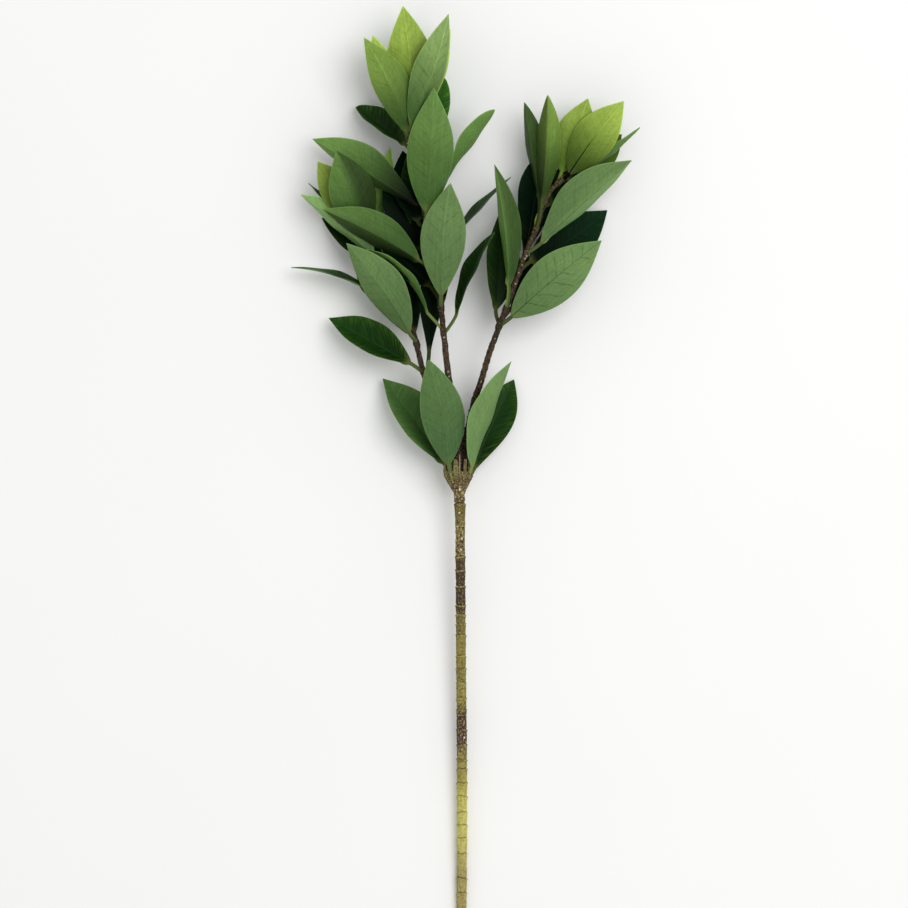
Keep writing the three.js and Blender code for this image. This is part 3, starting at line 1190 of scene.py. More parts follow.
    def _veins(self, grid: LeafGrid) -> np.ndarray:
        """Counts the side veins along the blade; they lean forward and the halves' are staggered.

        Args:
            grid: The leaf's points.

        Returns:
            The count at each point, a whole number on a vein.
        """
        away = np.abs(grid.distance)
        on_left = grid.distance > 0
        lag = self.vein_lean * (away / (self.spec.wide / 2)) ** self.vein_curve
        stagger = np.where(on_left, self.vein_stagger, 0.0)
        start = self.number * self.drift_by_leaf + np.where(on_left, self.drift_by_half, 0.0)
        drift = self.vein_drift * np.sin(start + self.drift_waves * grid.share)
        wiggle = self.vein_wiggle * np.sin(self.wiggle_waves * away / grid.length)
        return self.vein_pairs * (grid.share - lag) + stagger + wiggle + drift

    def _rise(self, grid: LeafGrid, veins: np.ndarray) -> np.ndarray:
        """How far the middle sheet stands out of the blade's plane: its fold, its waves and its veins.

        Args:
            grid: The leaf's points.
            veins: The count of side veins at each.

        Returns:
            The rise of each point.
        """
        size = grid.size
        keel = np.sqrt(grid.across**2 + self.keel_round**2) - self.keel_round
        keel = keel / (math.sqrt(1 + self.keel_round**2) - self.keel_round)
        lifted = (1 - self.curl) * keel + self.curl * size**2
        phase = 2 * math.pi * (self.waves * grid.share + self.number * self.wave_shift)
        wave = self.margin_wave * grid.bow * np.sin(phase)
        fold = grid.half * lifted * math.sin(math.radians(self.spec.fold))
        inner, full, fading, outer = self.vein_panel
        panel = smooth(size, inner, full) * (1 - smooth(size, fading, outer))
        ridge = np.abs(np.cos(math.pi * veins)) ** self.vein_sharp * panel * self.vein_rise
        return (fold + wave * grid.across * size + (ridge if self.under_up else -ridge)) * grid.flat

    def _rings(self, grid: LeafGrid, veins: np.ndarray) -> np.ndarray:
        """Folds the middle sheet and gives it its thickness and its midrib.

        Args:
            grid: The leaf's points.
            veins: The count of side veins at each.

        Returns:
            The leaf's rings of points.
        """
        narrowing = 1 + (math.cos(math.radians(self.spec.fold)) - 1) * grid.flat
        level = grid.distance * narrowing
        rise = self._rise(grid, veins)
        out = grid.out[:, None]
        sheet = grid.centres[:, None] + level[..., None] * grid.left[:, None] + rise[..., None] * out
        thin = self.blade_thick / 2 * np.sqrt(np.clip(1 - grid.size**self.edge_sharp, 0, 1))
        fat = self.petiole_thick / 2 * np.sqrt(np.clip(1 - grid.across**2, 0, 1))
        thick = thin * grid.flat + fat * (1 - grid.flat)
        fade = (1 - self.rib_fade * grid.share) * grid.flat
        rib = self.rib_rise * hump(grid.distance, self.rib_width) * fade
        raised, sunk = thick + rib, thick - self.rib_sink * rib
        above, below = (raised, sunk) if self.under_up else (sunk, raised)
        return ring_order(sheet + above[..., None] * out, sheet - below[..., None] * out)

    def _attributes(self, grid: LeafGrid, veins: np.ndarray) -> dict[str, np.ndarray]:
        """What a leaf's finish reads at each point.

        Args:
            grid: The leaf's points.
            veins: The count of side veins at each.

        Returns:
            The attributes by name.
        """
        spec = self.spec
        blade = grid.flat > 0
        # Painted light and shade: one half lighter and the other darker, and shade (light below zero) at
        # the petiole's end.
        halves = 1 + spec.halves * np.tanh(self.half_shade_edge * grid.across)
        depth = 1 - spec.deep * (1 - smooth(grid.share, 0, self.base_shade_reach))
        values = {
            "along": grid.share,
            "side": np.where(blade, grid.distance, 0.0),
            "margin": np.where(grid.flat > 0.5, grid.half * (1 - grid.size), self.stem_margin),
            "vein": veins,
            "shade": spec.shade * halves * depth,
            "stalk": 1 - grid.flat,
            # The groove's part is painted shade in the midrib's groove.
            "rib": spec.rib - spec.groove * (1 - smooth(grid.share, *self.groove_shade_ends)),
            "veins": np.array(spec.veins),
            "seed": np.array(self.number * self.seed_step),
        }
        whole = {key: np.broadcast_to(value, grid.across.shape) for key, value in values.items()}
        return {key: ring_order(value, value) for key, value in whole.items()}

    def build(self, name: str) -> bpy.types.Object:
        """Makes the leaf.

        Args:
            name: The object's name.

        Returns:
            The leaf.
        """
        grid = self._grid()
        veins = self._veins(grid)
        faces = (0, 1) if self.under_up else (1, 0)
        slots = np.repeat(faces, grid.across.shape[1] - 1)
        skin = Skin(self._rings(grid, veins), self._attributes(grid, veins), slots)
        return skin.build(name, self.spec.tone.materials())


def ring_order(above: np.ndarray, below: np.ndarray) -> np.ndarray:
    """Values above and below a leaf's sheet, one after the other round its edge."""
    return np.concatenate([above, below[:, -2:0:-1]], axis=1)


# ---- stems ----

DOT_EDGE = (0.3, 0.7)


def section_directions(ahead: np.ndarray) -> tuple[np.ndarray, np.ndarray]:
    """Level and rising directions across a stem, one row for each of its directions ahead."""
    level = unit(np.cross(ahead, [0.0, 0.0, 1.0]))
    return level, unit(np.cross(level, ahead))


def round_rings(centres: np.ndarray, ahead: np.ndarray, radii: np.ndarray) -> np.ndarray:
    """Rings of points round a line.

    Args:
        centres: The rings' centres.
        ahead: The line's direction at each of them.
        radii: The radius of each point, by ring and place round it.

    Returns:
        The points, by ring and place round it.
    """
    level, rising = section_directions(ahead)
    # Clockwise in these directions, so that the skin's faces look outwards.
    angles = -round_angles(radii.shape[1])
    across = (radii * np.cos(angles))[..., None] * level[:, None]
    return centres[:, None] + across + (radii * np.sin(angles))[..., None] * rising[:, None]


def dot_mask(places: np.ndarray, centres: np.ndarray, dots: Table, size: float) -> np.ndarray:
    """Pale dots on the upper side of a stem.

    Args:
        places: The stem's points, by ring and place round it.
        centres: The rings' centres.
        dots: The dots' middles, seen from above.
        size: Their radius.

    Returns:
        The dots' mask, 1 in their middles and 0 away from them.
    """
    mask = np.zeros(places.shape[:2])
    upper = places[..., 2] > centres[:, 2][:, None]
    for x, y in dots:
        apart = np.hypot(places[..., 0] - x, places[..., 1] - y)
        mask = np.maximum(mask, hump(apart, size) * upper)
    return mask


def dot_paint(mask: np.ndarray) -> np.ndarray:
    """The painted part of the dots in their mask, with a firmer edge."""
    return smooth(mask, *DOT_EDGE)


def bark_attributes(
    angles: np.ndarray, radii: np.ndarray, run: np.ndarray, **marks: np.ndarray
) -> dict[str, np.ndarray]:
    """What a bark finish reads on a stem's skin.

    Args:
        angles: The angle of each place round the stem.
        radii: The radius of each point, by ring and place round it.
        run: How far along the stem each ring is, in millimetres.
        **marks: The finish's masks that differ from 0.

    Returns:
        The attributes by name.
    """
    plain = {key: np.zeros(1) for key in ("along", "speckle", "lip", "crease", "dot", "hollow")}
    place = {"round_x": radii * np.cos(angles), "round_y": radii * np.sin(angles), "run": run[:, None]}
    return plain | place | marks


@dataclass
class Cane:
    """The ringed cane, from its cut end to the spigot that stands in the collar.

    Rings and tables are by place along Y. lips and creases are how much paint each ring's edge and the
    fold above it have; the folds' dark paint is partly the bark's colour and partly painted shade.
    swelling is what is added to the radius. ring_above and ring_below are how wide a ring's lip is on
    each side, and flare is how much each stretch widens up to its ring. Each of the lumps is a seed, a
    size and a rise.
    """

    node: str = "main_stem"
    slot: str = "cane_bark"
    path: tuple[Point, ...] = (
        (-3.2, -370, 3.7), (-3.1, -345, 3.8), (-2.8, -248, 9.6), (-3.6, -144, 16.4),
        (-4.4, -32, 23.6), (-5.1, -17, 24.6),
    )
    rings: tuple[float, ...] = (
        -355, -340, -328, -308, -296, -285, -275, -262, -251, -240, -232, -220, -208, -192,
        -183, -170, -159, -149, -132, -123, -116, -108, -93, -80, -69, -27,
    )
    lips: Table = (
        (-370, 0.3), (-250, 0.35), (-232, 0.2), (-205, 0.2), (-183, 0.35), (-149, 0.6), (-108, 0.7),
        (-93, 0.95), (-69, 0.8), (-40, 0.2), (-27, 0.25),
    )
    creases: Table = (
        (-370, 0.85), (-232, 0.85), (-183, 0.5), (-149, 0.7), (-123, 0.4), (-69, 0.35), (-27, 0.5),
    )
    speckle: Table = (
        (-370, 0.5), (-300, 0.3), (-262, 0.35), (-235, 0.6), (-219, 0.85), (-192, 0.75), (-165, 0.55),
        (-140, 0.45), (-125, 0.6), (-108, 0.6), (-98, 0.35), (-71, 0.4), (-67, 1.0), (-42, 1.0),
        (-37, 0.45), (-29, 0.5), (-26, 0.9),
    )
    swelling: Table = ((-370, 0.2), (-230, 0.22), (-120, 0.0), (-38, 0.0), (-27, 0.6))
    dots: Table = ((-4.9, -33.8), (-3.0, -54.8), (-3.7, -63.4), (-0.9, -214.6))
    radius: float = 3.8
    first_run: float = 10
    ring_rise: float = 0.42
    ring_above: float = 0.4
    ring_below: float = 1.2
    ring_tilt: float = 0.4
    ring_turn: float = 2.4
    ring_ripple: float = 0.25
    ripples: int = 3
    flare: float = 0.3
    crease_depth: float = 0.3
    crease_above: float = 0.75
    crease_width: float = 0.5
    lip_paint: float = 0.42
    lip_paint_below: float = 0.2
    crease_paint: float = 0.36
    lumps: tuple[tuple[int, float, float], ...] = ((3, 4, 0.12), (4, 1.4, 0.07))
    dot_size: float = 0.75
    dot_rise: float = 0.3
    spigot_radius: float = 2.6
    shoulder_y: float = -25.9
    shoulder_half: float = 0.3
    end_round: float = 0.5
    sides: int = 48
    step: float = 0.45

    def _ringing(self, height: np.ndarray, angles: np.ndarray) -> tuple[np.ndarray, ...]:
        """What the leaf-scar rings do to the cane: each stretch flares up to a lip with a fold above it.

        Args:
            height: Places along Y, as a column.
            angles: Places round the cane.

        Returns:
            What is added to the radius, and where the lips and the folds are.
        """
        relief = np.zeros(np.broadcast_shapes(height.shape, angles.shape))
        lips = np.zeros_like(relief)
        creases = np.zeros_like(relief)
        stretch_starts = (self.path[0][1] - self.first_run, *self.rings)
        for number, (place, start) in enumerate(zip(self.rings, stretch_starts)):
            tilt = self.ring_tilt * np.sin(angles + number * self.ring_turn)
            ripple = self.ring_ripple * np.sin(self.ripples * angles + number)
            offset = height - place - tilt - ripple
            above = offset - self.crease_above
            lip = np.where(offset > 0, hump(offset, self.ring_above), hump(offset, self.ring_below))
            span = place - start
            within = np.clip((offset + span) / span, 0, 1) * (offset <= 0) * (offset > -span)
            relief += self.ring_rise * lip + self.flare * within**2
            relief -= self.crease_depth * hump(above, self.crease_width)
            lips = np.maximum(lips, hump(offset + self.lip_paint_below, self.lip_paint))
            creases = np.maximum(creases, hump(above, self.crease_paint))
        return relief, lips, creases

    def build(self) -> bpy.types.Object:
        """Makes the cane.

        Returns:
            The cane.
        """
        path = SmoothPath(self.path)
        shares = np.linspace(0, 1, int(path.length / self.step))
        centres = path.at(shares)
        ahead = path.ahead(shares)
        height = centres[:, 1][:, None]
        angles = round_angles(self.sides)
        relief, lips, creases = self._ringing(height, angles)
        radii = self.radius + read(self.swelling, height) + relief
        places = round_rings(centres, ahead, radii)
        radii += sum(rise * Lumps(seed, size).at(places) for seed, size, rise in self.lumps)
        dots = dot_mask(places, centres, self.dots, self.dot_size)
        radii += self.dot_rise * dots
        low, high = self.shoulder_y - self.shoulder_half, self.shoulder_y + self.shoulder_half
        inside = smooth(height, low, high)
        radii = radii * (1 - inside) + self.spigot_radius * inside
        radii[0] -= self.end_round
        attributes = bark_attributes(
            angles,
            radii,
            shares * path.length,
            along=shares[:, None],
            speckle=read(self.speckle, height),
            lip=read(self.lips, height) * lips,
            crease=read(self.creases, height) * creases,
            dot=dot_paint(dots),
        )
        skin = Skin(round_rings(centres, ahead, radii), attributes)
        piece = skin.build("ringed_cane", [CANE_BARK.material("cane_bark")])
        stand_for(piece, self.node, self.slot)
        return piece


@dataclass
class Twig:
    """A branchlet's rough stem, swollen where its leaves leave it, with a scar below each of them.

    Each of the lumps is a number that is added to the seed, a size and a rise.
    """

    path: tuple[Point, ...]
    radii: tuple[float, float]
    finish: BarkFinish
    joints: tuple[float, ...]
    seed: int
    dots: Table = ()
    dot_size: float = 0.7
    sides: int = 22
    step: float = 0.55
    swell: float = 0.4
    swell_length: float = 2.4
    scar_below: float = 2.6
    scar_rise: float = 0.15
    crease_below: float = 3.6
    crease_depth: float = 0.1
    scar_width: float = 0.5
    paint_width: float = 0.6
    scar_paint: float = 0.16
    crease_paint: float = 0.4
    lumps: tuple[tuple[int, float, float], ...] = ((0, 3, 0.2), (50, 1.2, 0.1))

    def build(self, name: str) -> bpy.types.Object:
        """Makes the twig.

        Args:
            name: The object's name.

        Returns:
            The twig.
        """
        path = SmoothPath(self.path)
        shares = np.linspace(0, 1, int(path.length / self.step))
        centres = path.at(shares)
        ahead = path.ahead(shares)
        radius = self.radii[0] + (self.radii[1] - self.radii[0]) * shares
        scars = np.zeros_like(shares)
        creases = np.zeros_like(shares)
        for joint in self.joints:
            offset = (shares - joint) * path.length
            scar, crease = offset + self.scar_below, offset + self.crease_below
            radius = radius + self.swell * hump(offset, self.swell_length)
            radius = radius + self.scar_rise * hump(scar, self.scar_width)
            radius = radius - self.crease_depth * hump(crease, self.scar_width)
            scars = np.maximum(scars, hump(scar, self.paint_width))
            # The dark band below each scar is partly the bark's colour and partly painted shade.
            creases = np.maximum(creases, hump(crease, self.paint_width))
        radii = np.repeat(radius[:, None], self.sides, axis=1)
        places = round_rings(centres, ahead, radii)
        radii += sum(rise * Lumps(self.seed + seed, size).at(places) for seed, size, rise in self.lumps)
        attributes = bark_attributes(
            round_angles(self.sides),
            radii,
            shares * path.length,
            along=shares[:, None],
            speckle=np.ones(1),
            lip=self.scar_paint * scars[:, None],
            crease=self.crease_paint * creases[:, None],
            dot=dot_paint(dot_mask(places, centres, self.dots, self.dot_size)),
        )
        skin = Skin(round_rings(centres, ahead, radii), attributes)
        return skin.build(name, [self.finish.material(name)])


@dataclass
class Bud:
    """A closed, pointed bud of overlapping scales whose seams wind round it."""

    root: np.ndarray
    ahead: np.ndarray
    length: float = 12
    radius: float = 2.3
    profile: Table = ((0, 0.62), (0.2, 0.9), (0.42, 1), (0.62, 0.86), (0.82, 0.5), (0.94, 0.24), (1, 0.06))
    scales: int = 3
    winding: float = 5.5
    seam_sharp: int = 8
    seam_start: tuple[float, float] = (0.08, 0.3)
    seam_depth: float = 0.17
    seam_paint: float = 0.8
    sides: int = 24
    steps: int = 36

    def build(self, name: str, material: bpy.types.Material) -> bpy.types.Object:
        """Makes the bud.

        Args:
            name: The object's name.
            material: Its finish.

        Returns:
            The bud.
        """
        share = np.linspace(0, 1, self.steps)[:, None]
        turn = self.scales * round_angles(self.sides) + self.winding * share
        seam = np.maximum(np.cos(turn), 0) ** self.seam_sharp * smooth(share, *self.seam_start)
        radii = self.radius * read(self.profile, share) * (1 - self.seam_depth * seam)
        centres = self.root + np.outer(share, self.ahead) * self.length
        ahead = np.repeat(self.ahead[None], self.steps, axis=0)
        attributes = {"along": share, "seam": self.seam_paint * seam}
        return Skin(round_rings(centres, ahead, radii), attributes).build(name, [material])


@dataclass(frozen=True)
class BudSpec:
    """A bud's place on its twig, as a share of the twig, and how far it leans aside, in degrees."""

    at: float
    aside: float = 0


@dataclass
class Branchlet:
    """One leafy branchlet: a twig with its leaves and buds."""

    node: str
    slot: str
    path: tuple[Point, ...]
    radii: tuple[float, float]
    finish: BarkFinish
    buds: tuple[BudSpec, ...]
    leaves: tuple[LeafSpec, ...]
    seed: int
    dots: Table = ()

    def build(self) -> list[bpy.types.Object]:
        """Makes the twig, the leaves and the buds.

        Returns:
            The pieces.
        """
        path = SmoothPath(self.path)
        joints = tuple(spec.at for spec in self.leaves)
        twig = Twig(self.path, self.radii, self.finish, joints, self.seed, self.dots)
        pieces = [twig.build(f"{self.node}_twig")]
        for number, spec in enumerate(self.leaves):
            root = path.at(np.array([spec.at]))[0]
            pieces.append(Leaf(spec, root, number).build(f"{self.node}_leaf_{number + 1:02d}"))
        scales = BudFinish().material(f"{self.node}_bud_scales")
        for number, bud in enumerate(self.buds):
            shares = np.array([bud.at])
            ahead = turned(path.ahead(shares)[0], np.array([0.0, 0.0, 1.0]), math.radians(bud.aside))
            pieces.append(Bud(path.at(shares)[0], ahead).build(f"{self.node}_bud_{number + 1}", scales))
        for piece in pieces:
            stand_for(piece, self.node, self.slot)
        return pieces


@dataclass(frozen=True)
class Strand:
    """A strip of bark that runs up over the fork's rim between two stems.

    angle is its place round the fork in degrees, from the right and over the top, wide and thick are
    its section, end is how far along Y it reaches, and tone is its place along the fork's colours.
    """

    angle: float
    wide: float
    end: float
    tone: float
    thick: float = 1.7


@dataclass
class ForkCollar:
    """The fork at the cane's top: a speckled funnel, strips of bark over its rim, and four leaves.

    Each row of sections is a place along Y, the centre's x and z there, the half width and the half
    height. heart is the x and z that the mouth narrows to, and level is the fork's middle height. A
    strip of bark lies strand_sink deep in the funnel, the first number all along and the second at its
    start alone, until it has emerged. The faces of the funnel and of the strips look inwards.
    """

    leaves: tuple[LeafSpec, ...]
    node: str = "leaf_collar"
    slot: str = "leaf_mature"
    sections: tuple[tuple[float, ...], ...] = (
        (-25.7, -4.8, 24.0, 3.8, 3.8), (-25.2, -4.8, 24.1, 4.25, 4.2), (-23, -4.8, 24.2, 4.4, 4.3),
        (-20, -4.9, 24.5, 4.15, 4.1), (-17.5, -5, 24.7, 4.8, 4.5), (-14.4, -5.2, 25, 6.4, 5.5),
        (-10.6, -5.4, 25.5, 8.6, 6.9), (-6.3, -5.5, 26, 10.5, 8.2), (-2.5, -5.5, 26.3, 11.6, 9.0),
        (-0.5, -5.5, 26.4, 11.8, 9.1),
    )
    # The long strips at -46 and -74 degrees reach in under the stems to fill gaps that are in shadow, and
    # their dark tone there is painted shade.
    strands: tuple[Strand, ...] = (
        Strand(160, 3.8, 6.5, 0.62, 2.2), Strand(123, 2.0, 5.5, 0.8), Strand(102, 4.6, 9, 0.64, 2.4),
        Strand(86, 1.5, 13, 1.0, 1.5), Strand(64, 3.2, 9, 0.45, 2.2), Strand(40, 3.4, 6, 0.5),
        Strand(12, 3.4, 3, 0.35), Strand(-16, 3.2, 1.5, 0.6), Strand(-46, 5, 20, 0.3),
        Strand(-74, 5.5, 27, 0.3), Strand(-104, 3.8, 3, 0.4), Strand(-134, 3.2, 1.5, 0.6),
        Strand(-160, 3.4, 2.5, 0.35), Strand(-183, 2.6, 3, 0.5),
    )
    level: float = 26
    lumps: tuple[tuple[int, float, float], ...] = ((21, 2.5, 0.03), (22, 1, 0.02))
    dots: Table = ((-4.6, -15.4),)
    dot_size: float = 0.8
    dot_rise: float = 0.05
    heart: tuple[float, float] = (-5.0, 26.4)
    mouth_depth: float = 6
    mouth_narrowing: float = 0.92
    mouth_curve: float = 0.6
    hollow_steps: float = 4
    rim_tone: float = 0.4
    rim_tone_from: float = -22
    neck_y: float = -25.4
    neck_width: float = 0.5
    neck_paint: float = 0.7
    sides: int = 96
    steps: int = 80
    mouth_steps: int = 14
    strand_start: float = -15.5
    strand_steps: int = 34
    strand_sides: int = 14
    strand_growth: Table = ((0, 0.35), (0.3, 0.85), (0.75, 1), (0.93, 0.8), (1, 0.3))
    strand_sink: tuple[float, float] = (0.25, 1.1)
    strand_emerging: tuple[float, float] = (0.05, 0.55)
    strand_lump: float = 0.1
    strand_lump_size: float = 2
    strand_lump_seed: int = 60
    strand_run: float = 7
    strand_tone: float = 0.3
    strand_tone_ends: tuple[float, float] = (0.15, 0.5)
    strand_clearing: float = 0.45
    strand_clearing_ends: tuple[float, float] = (0.3, 0.7)
    fray: float = 0.5
    fray_points: int = 2
    fray_from: float = 0.8

    def _section(self, height: np.ndarray) -> tuple[np.ndarray, ...]:
        """The funnel's centre and half sizes.

        Args:
            height: Places along Y.

        Returns:
            The centre's x and z, the half width and the half height.
        """
        places, *columns = np.array(self.sections).T
        return tuple(np.interp(height, places, column) for column in columns)

    def _mouth(self, rim: np.ndarray) -> np.ndarray:
        """Rings that lead from the rim down into the open mouth.

        Args:
            rim: The funnel's last ring.

        Returns:
            The rings.
        """
        heart = np.array([self.heart[0], rim[0, 1] - self.mouth_depth, self.heart[1]])
        inward = np.linspace(0, 1, self.mouth_steps + 1)[1:, None, None]
        rings = rim + (heart - rim) * self.mouth_narrowing * inward
        rings[..., 1] = rim[:, 1] + (heart[1] - rim[:, 1]) * inward[..., 0] ** self.mouth_curve
        return rings

    def _body(self, material: bpy.types.Material) -> bpy.types.Object:
        """Makes the funnel with its open mouth.

        Args:
            material: The fork's bark.

        Returns:
            The funnel.
        """
        height = np.linspace(self.sections[0][0], self.sections[-1][0], self.steps)
        x, z, wide, high = self._section(height)
        angles = round_angles(self.sides)
        centres = np.stack([x, height, z], -1)
        middle = centres[:, None]
        across = np.stack([np.outer(wide, np.cos(angles)), np.zeros((self.steps, self.sides)),
                           np.outer(high, np.sin(angles))], -1)
        places = middle + across
        swell = 1 + sum(rise * Lumps(seed, size).at(places) for seed, size, rise in self.lumps)
        dots = dot_mask(places, centres, self.dots, self.dot_size)
        places = middle + across * (swell + self.dot_rise * dots)[..., None]
        rings = np.concatenate([places, self._mouth(places[-1])])
        inside = np.zeros(self.mouth_steps)
        tone = self.rim_tone * smooth(height, self.rim_tone_from, 0)
        neck = self.neck_paint * hump(height - self.neck_y, self.neck_width)
        attributes = bark_attributes(
            angles,
            np.hypot(rings[..., 0] - rings[..., 0].mean(1, keepdims=True), rings[..., 2] - self.level),
            rings[..., 1].mean(1),
            along=np.concatenate([tone, inside + self.rim_tone])[:, None],
            speckle=np.ones(1),
            # Painted shade darkens the open mouth from its rim inwards.
            hollow=smooth(np.arange(len(rings)) - self.steps, 0, self.hollow_steps)[:, None],
            crease=np.concatenate([neck, inside])[:, None],
            dot=np.concatenate([dot_paint(dots), np.zeros((self.mouth_steps, self.sides))]),
        )
        return Skin(rings, attributes).build("fork_collar", [material])

    def _strand(self, strand: Strand, number: int, material: bpy.types.Material) -> bpy.types.Object:
        """Makes one strip of bark, sunk in the funnel at its lower end and tapered to its upper end.

        Args:
            strand: Its place and size.
            number: Its number among the strips.
            material: The fork's bark.

        Returns:
            The strip.
        """
        height = np.linspace(self.strand_start, strand.end, self.strand_steps)
        share = np.linspace(0, 1, self.strand_steps)
        x, z, wide, high = self._section(height)
        rest, start = self.strand_sink
        sunk = start * (1 - smooth(share, *self.strand_emerging)) + rest
        sine, cosine = math.sin(math.radians(strand.angle)), math.cos(math.radians(strand.angle))
        centres = np.stack([x + (wide - sunk) * cosine, height, z + (high - sunk) * sine], -1)
        lumps = Lumps(self.strand_lump_seed + number, self.strand_lump_size).at(centres)
        growth = (read(self.strand_growth, share) * (1 + self.strand_lump * lumps))[:, None]
        # The strip's points run the same way round as the funnel's.
        around = round_angles(self.strand_sides)[::-1]
        across = strand.wide / 2 * growth * np.cos(around)
        out = strand.thick / 2 * growth * np.sin(around)
        rings = centres[:, None] + across[..., None] * np.array([-sine, 0.0, cosine])
        rings += out[..., None] * np.array([cosine, 0.0, sine])
        ragged = self.fray * np.sin(around * self.fray_points + number)
        rings[..., 1] += ragged * smooth(share, self.fray_from, 1)[:, None]
        tone = self.strand_tone + (strand.tone - self.strand_tone) * smooth(share, *self.strand_tone_ends)
        speckle = 1 - self.strand_clearing * smooth(share, *self.strand_clearing_ends)
        attributes = bark_attributes(
            around,
            np.hypot(across, out),
            height + self.strand_run * number,
            along=tone[:, None],
            speckle=speckle[:, None],
        )
        return Skin(rings, attributes).build(f"fork_strand_{number + 1:02d}", [material])

    def build(self) -> list[bpy.types.Object]:
        """Makes the collar, its strips of bark and its leaves.

        Returns:
            The pieces.
        """
        material = FORK_BARK.material("fork_bark")
        pieces = [self._body(material)]
        for number, strand in enumerate(self.strands):
            pieces.append(self._strand(strand, number, material))
        for number, spec in enumerate(self.leaves):
            leaf = Leaf(spec, np.array(spec.at, float), number)
            pieces.append(leaf.build(f"{self.node}_leaf_{number + 1:02d}"))
        for piece in pieces:
            stand_for(piece, self.node, self.slot)
        return pieces


# ---- the branch's own sizes ----

# In the tables below, the near-black tone and the low shade values of the inner leaves are painted shade,
# and halves and deep paint light and shade on single leaves.
BASAL_LEAVES = (
    LeafSpec((-13, -5, 22), (-17.5, 6, 22), (-66.5, 73.8, 8), 41.5, Tone.MOSS, turn=21, fold=34,
             sweep=-1.2, rib=0.5),
    LeafSpec((-10.4, -7.8, 30.4), (-13.6, 5, 35), (-29.6, 88.4, 50), 35.6, Tone.DUSK, fold=-12, arch=4,
             sweep=-3, shade=0.98, deep=0.12, blunt=0.1),
    LeafSpec((2, -5.2, 29.4), (5, 3, 33), (36.5, 87, 44), 36, Tone.SAGE, turn=60, arch=-5.7, shade=1.2,
             deep=-0.14, rib=0.05),
    LeafSpec((3, -5, 21), (7, 1.5, 19), (39, 73, 4), 31.4, Tone.DEEP, fold=12, sweep=1.2, shade=0.8,
             rib=0.3, peak=1.2),
)

LEFT = Branchlet(
    node="left_branchlet",
    slot="leaf_mature",
    path=(
        (-9, -7, 24), (-10, 12, 27), (-19, 42, 32), (-32, 74, 34), (-37.5, 94, 34), (-40.5, 107, 33),
        (-48, 122, 31), (-60.5, 144, 30), (-71.5, 167, 30), (-81, 186, 30), (-91, 205, 30),
    ),
    radii=(2.8, 1.5),
    finish=BROWN_TWIG,
    buds=(BudSpec(0.985),),
    seed=31,
    leaves=(
        LeafSpec(0.39, (-44.5, 86, 31), (-109.7, 122.2, 12), 34.5, Tone.DEEP, turn=22, fold=35,
                 sweep=-0.1),
        LeafSpec(0.37, (-29.2, 95.5, 28), (-27, 165, 20), 19, Tone.PAINTED_SHADE, fold=12, shade=0.5, peak=1.4),
        LeafSpec(0.49, (-41, 111, 30), (-47, 178, 21), 16, Tone.PAINTED_SHADE, fold=12, shade=0.5),
        LeafSpec(0.5, (-45, 110, 40), (-95, 181.5, 44), 37, Tone.SAGE, turn=-25, fold=-20, arch=3,
                 sweep=-4.2, shade=0.97, deep=0.12, rib=0.6, groove=1),
        LeafSpec(0.635, (-63.5, 135, 24), (-139.8, 162.8, 16), 26, Tone.FERN, turn=80, fold=10, arch=6.1,
                 shade=1.1),
        LeafSpec(0.64, (-47.5, 138, 26), (-36, 199, 14), 25, Tone.PAINTED_SHADE, fold=12, shade=0.5),
        LeafSpec(0.62, (-57, 133, 22), (-87.5, 170, 3), 26, Tone.DEEP, fold=12, shade=0.8),
        LeafSpec(0.723, (-63.5, 160.5, 24), (-115.5, 203, 0.2), 30, Tone.DEEP, turn=25, fold=35,
                 shade=0.4),
        LeafSpec(0.782, (-73, 171.5, 33), (-132, 221, 28), 31, Tone.SAGE, turn=-40, fold=-35, sweep=-1.5,
                 shade=1.75, deep=0.3),
        LeafSpec(0.885, (-81, 191, 34), (-103, 255, 57.5), 39, Tone.FERN, turn=8, fold=-16, sweep=-1.9,
                 shade=0.74, halves=0.48, deep=0.2, peak=0.84),
        LeafSpec(0.912, (-74, 197, 24), (-60.3, 259.5, 10), 18, Tone.SPRING, turn=-20, shade=1.5),
        LeafSpec(0.932, (-95.5, 200.5, 22), (-126, 230.5, 22), 11, Tone.FERN, turn=75, fold=5),
        LeafSpec(0.965, (-87, 201, 33), (-118.2, 247, 40), 27, Tone.LIME, shade=0.72, deep=0.2),
    ),
)

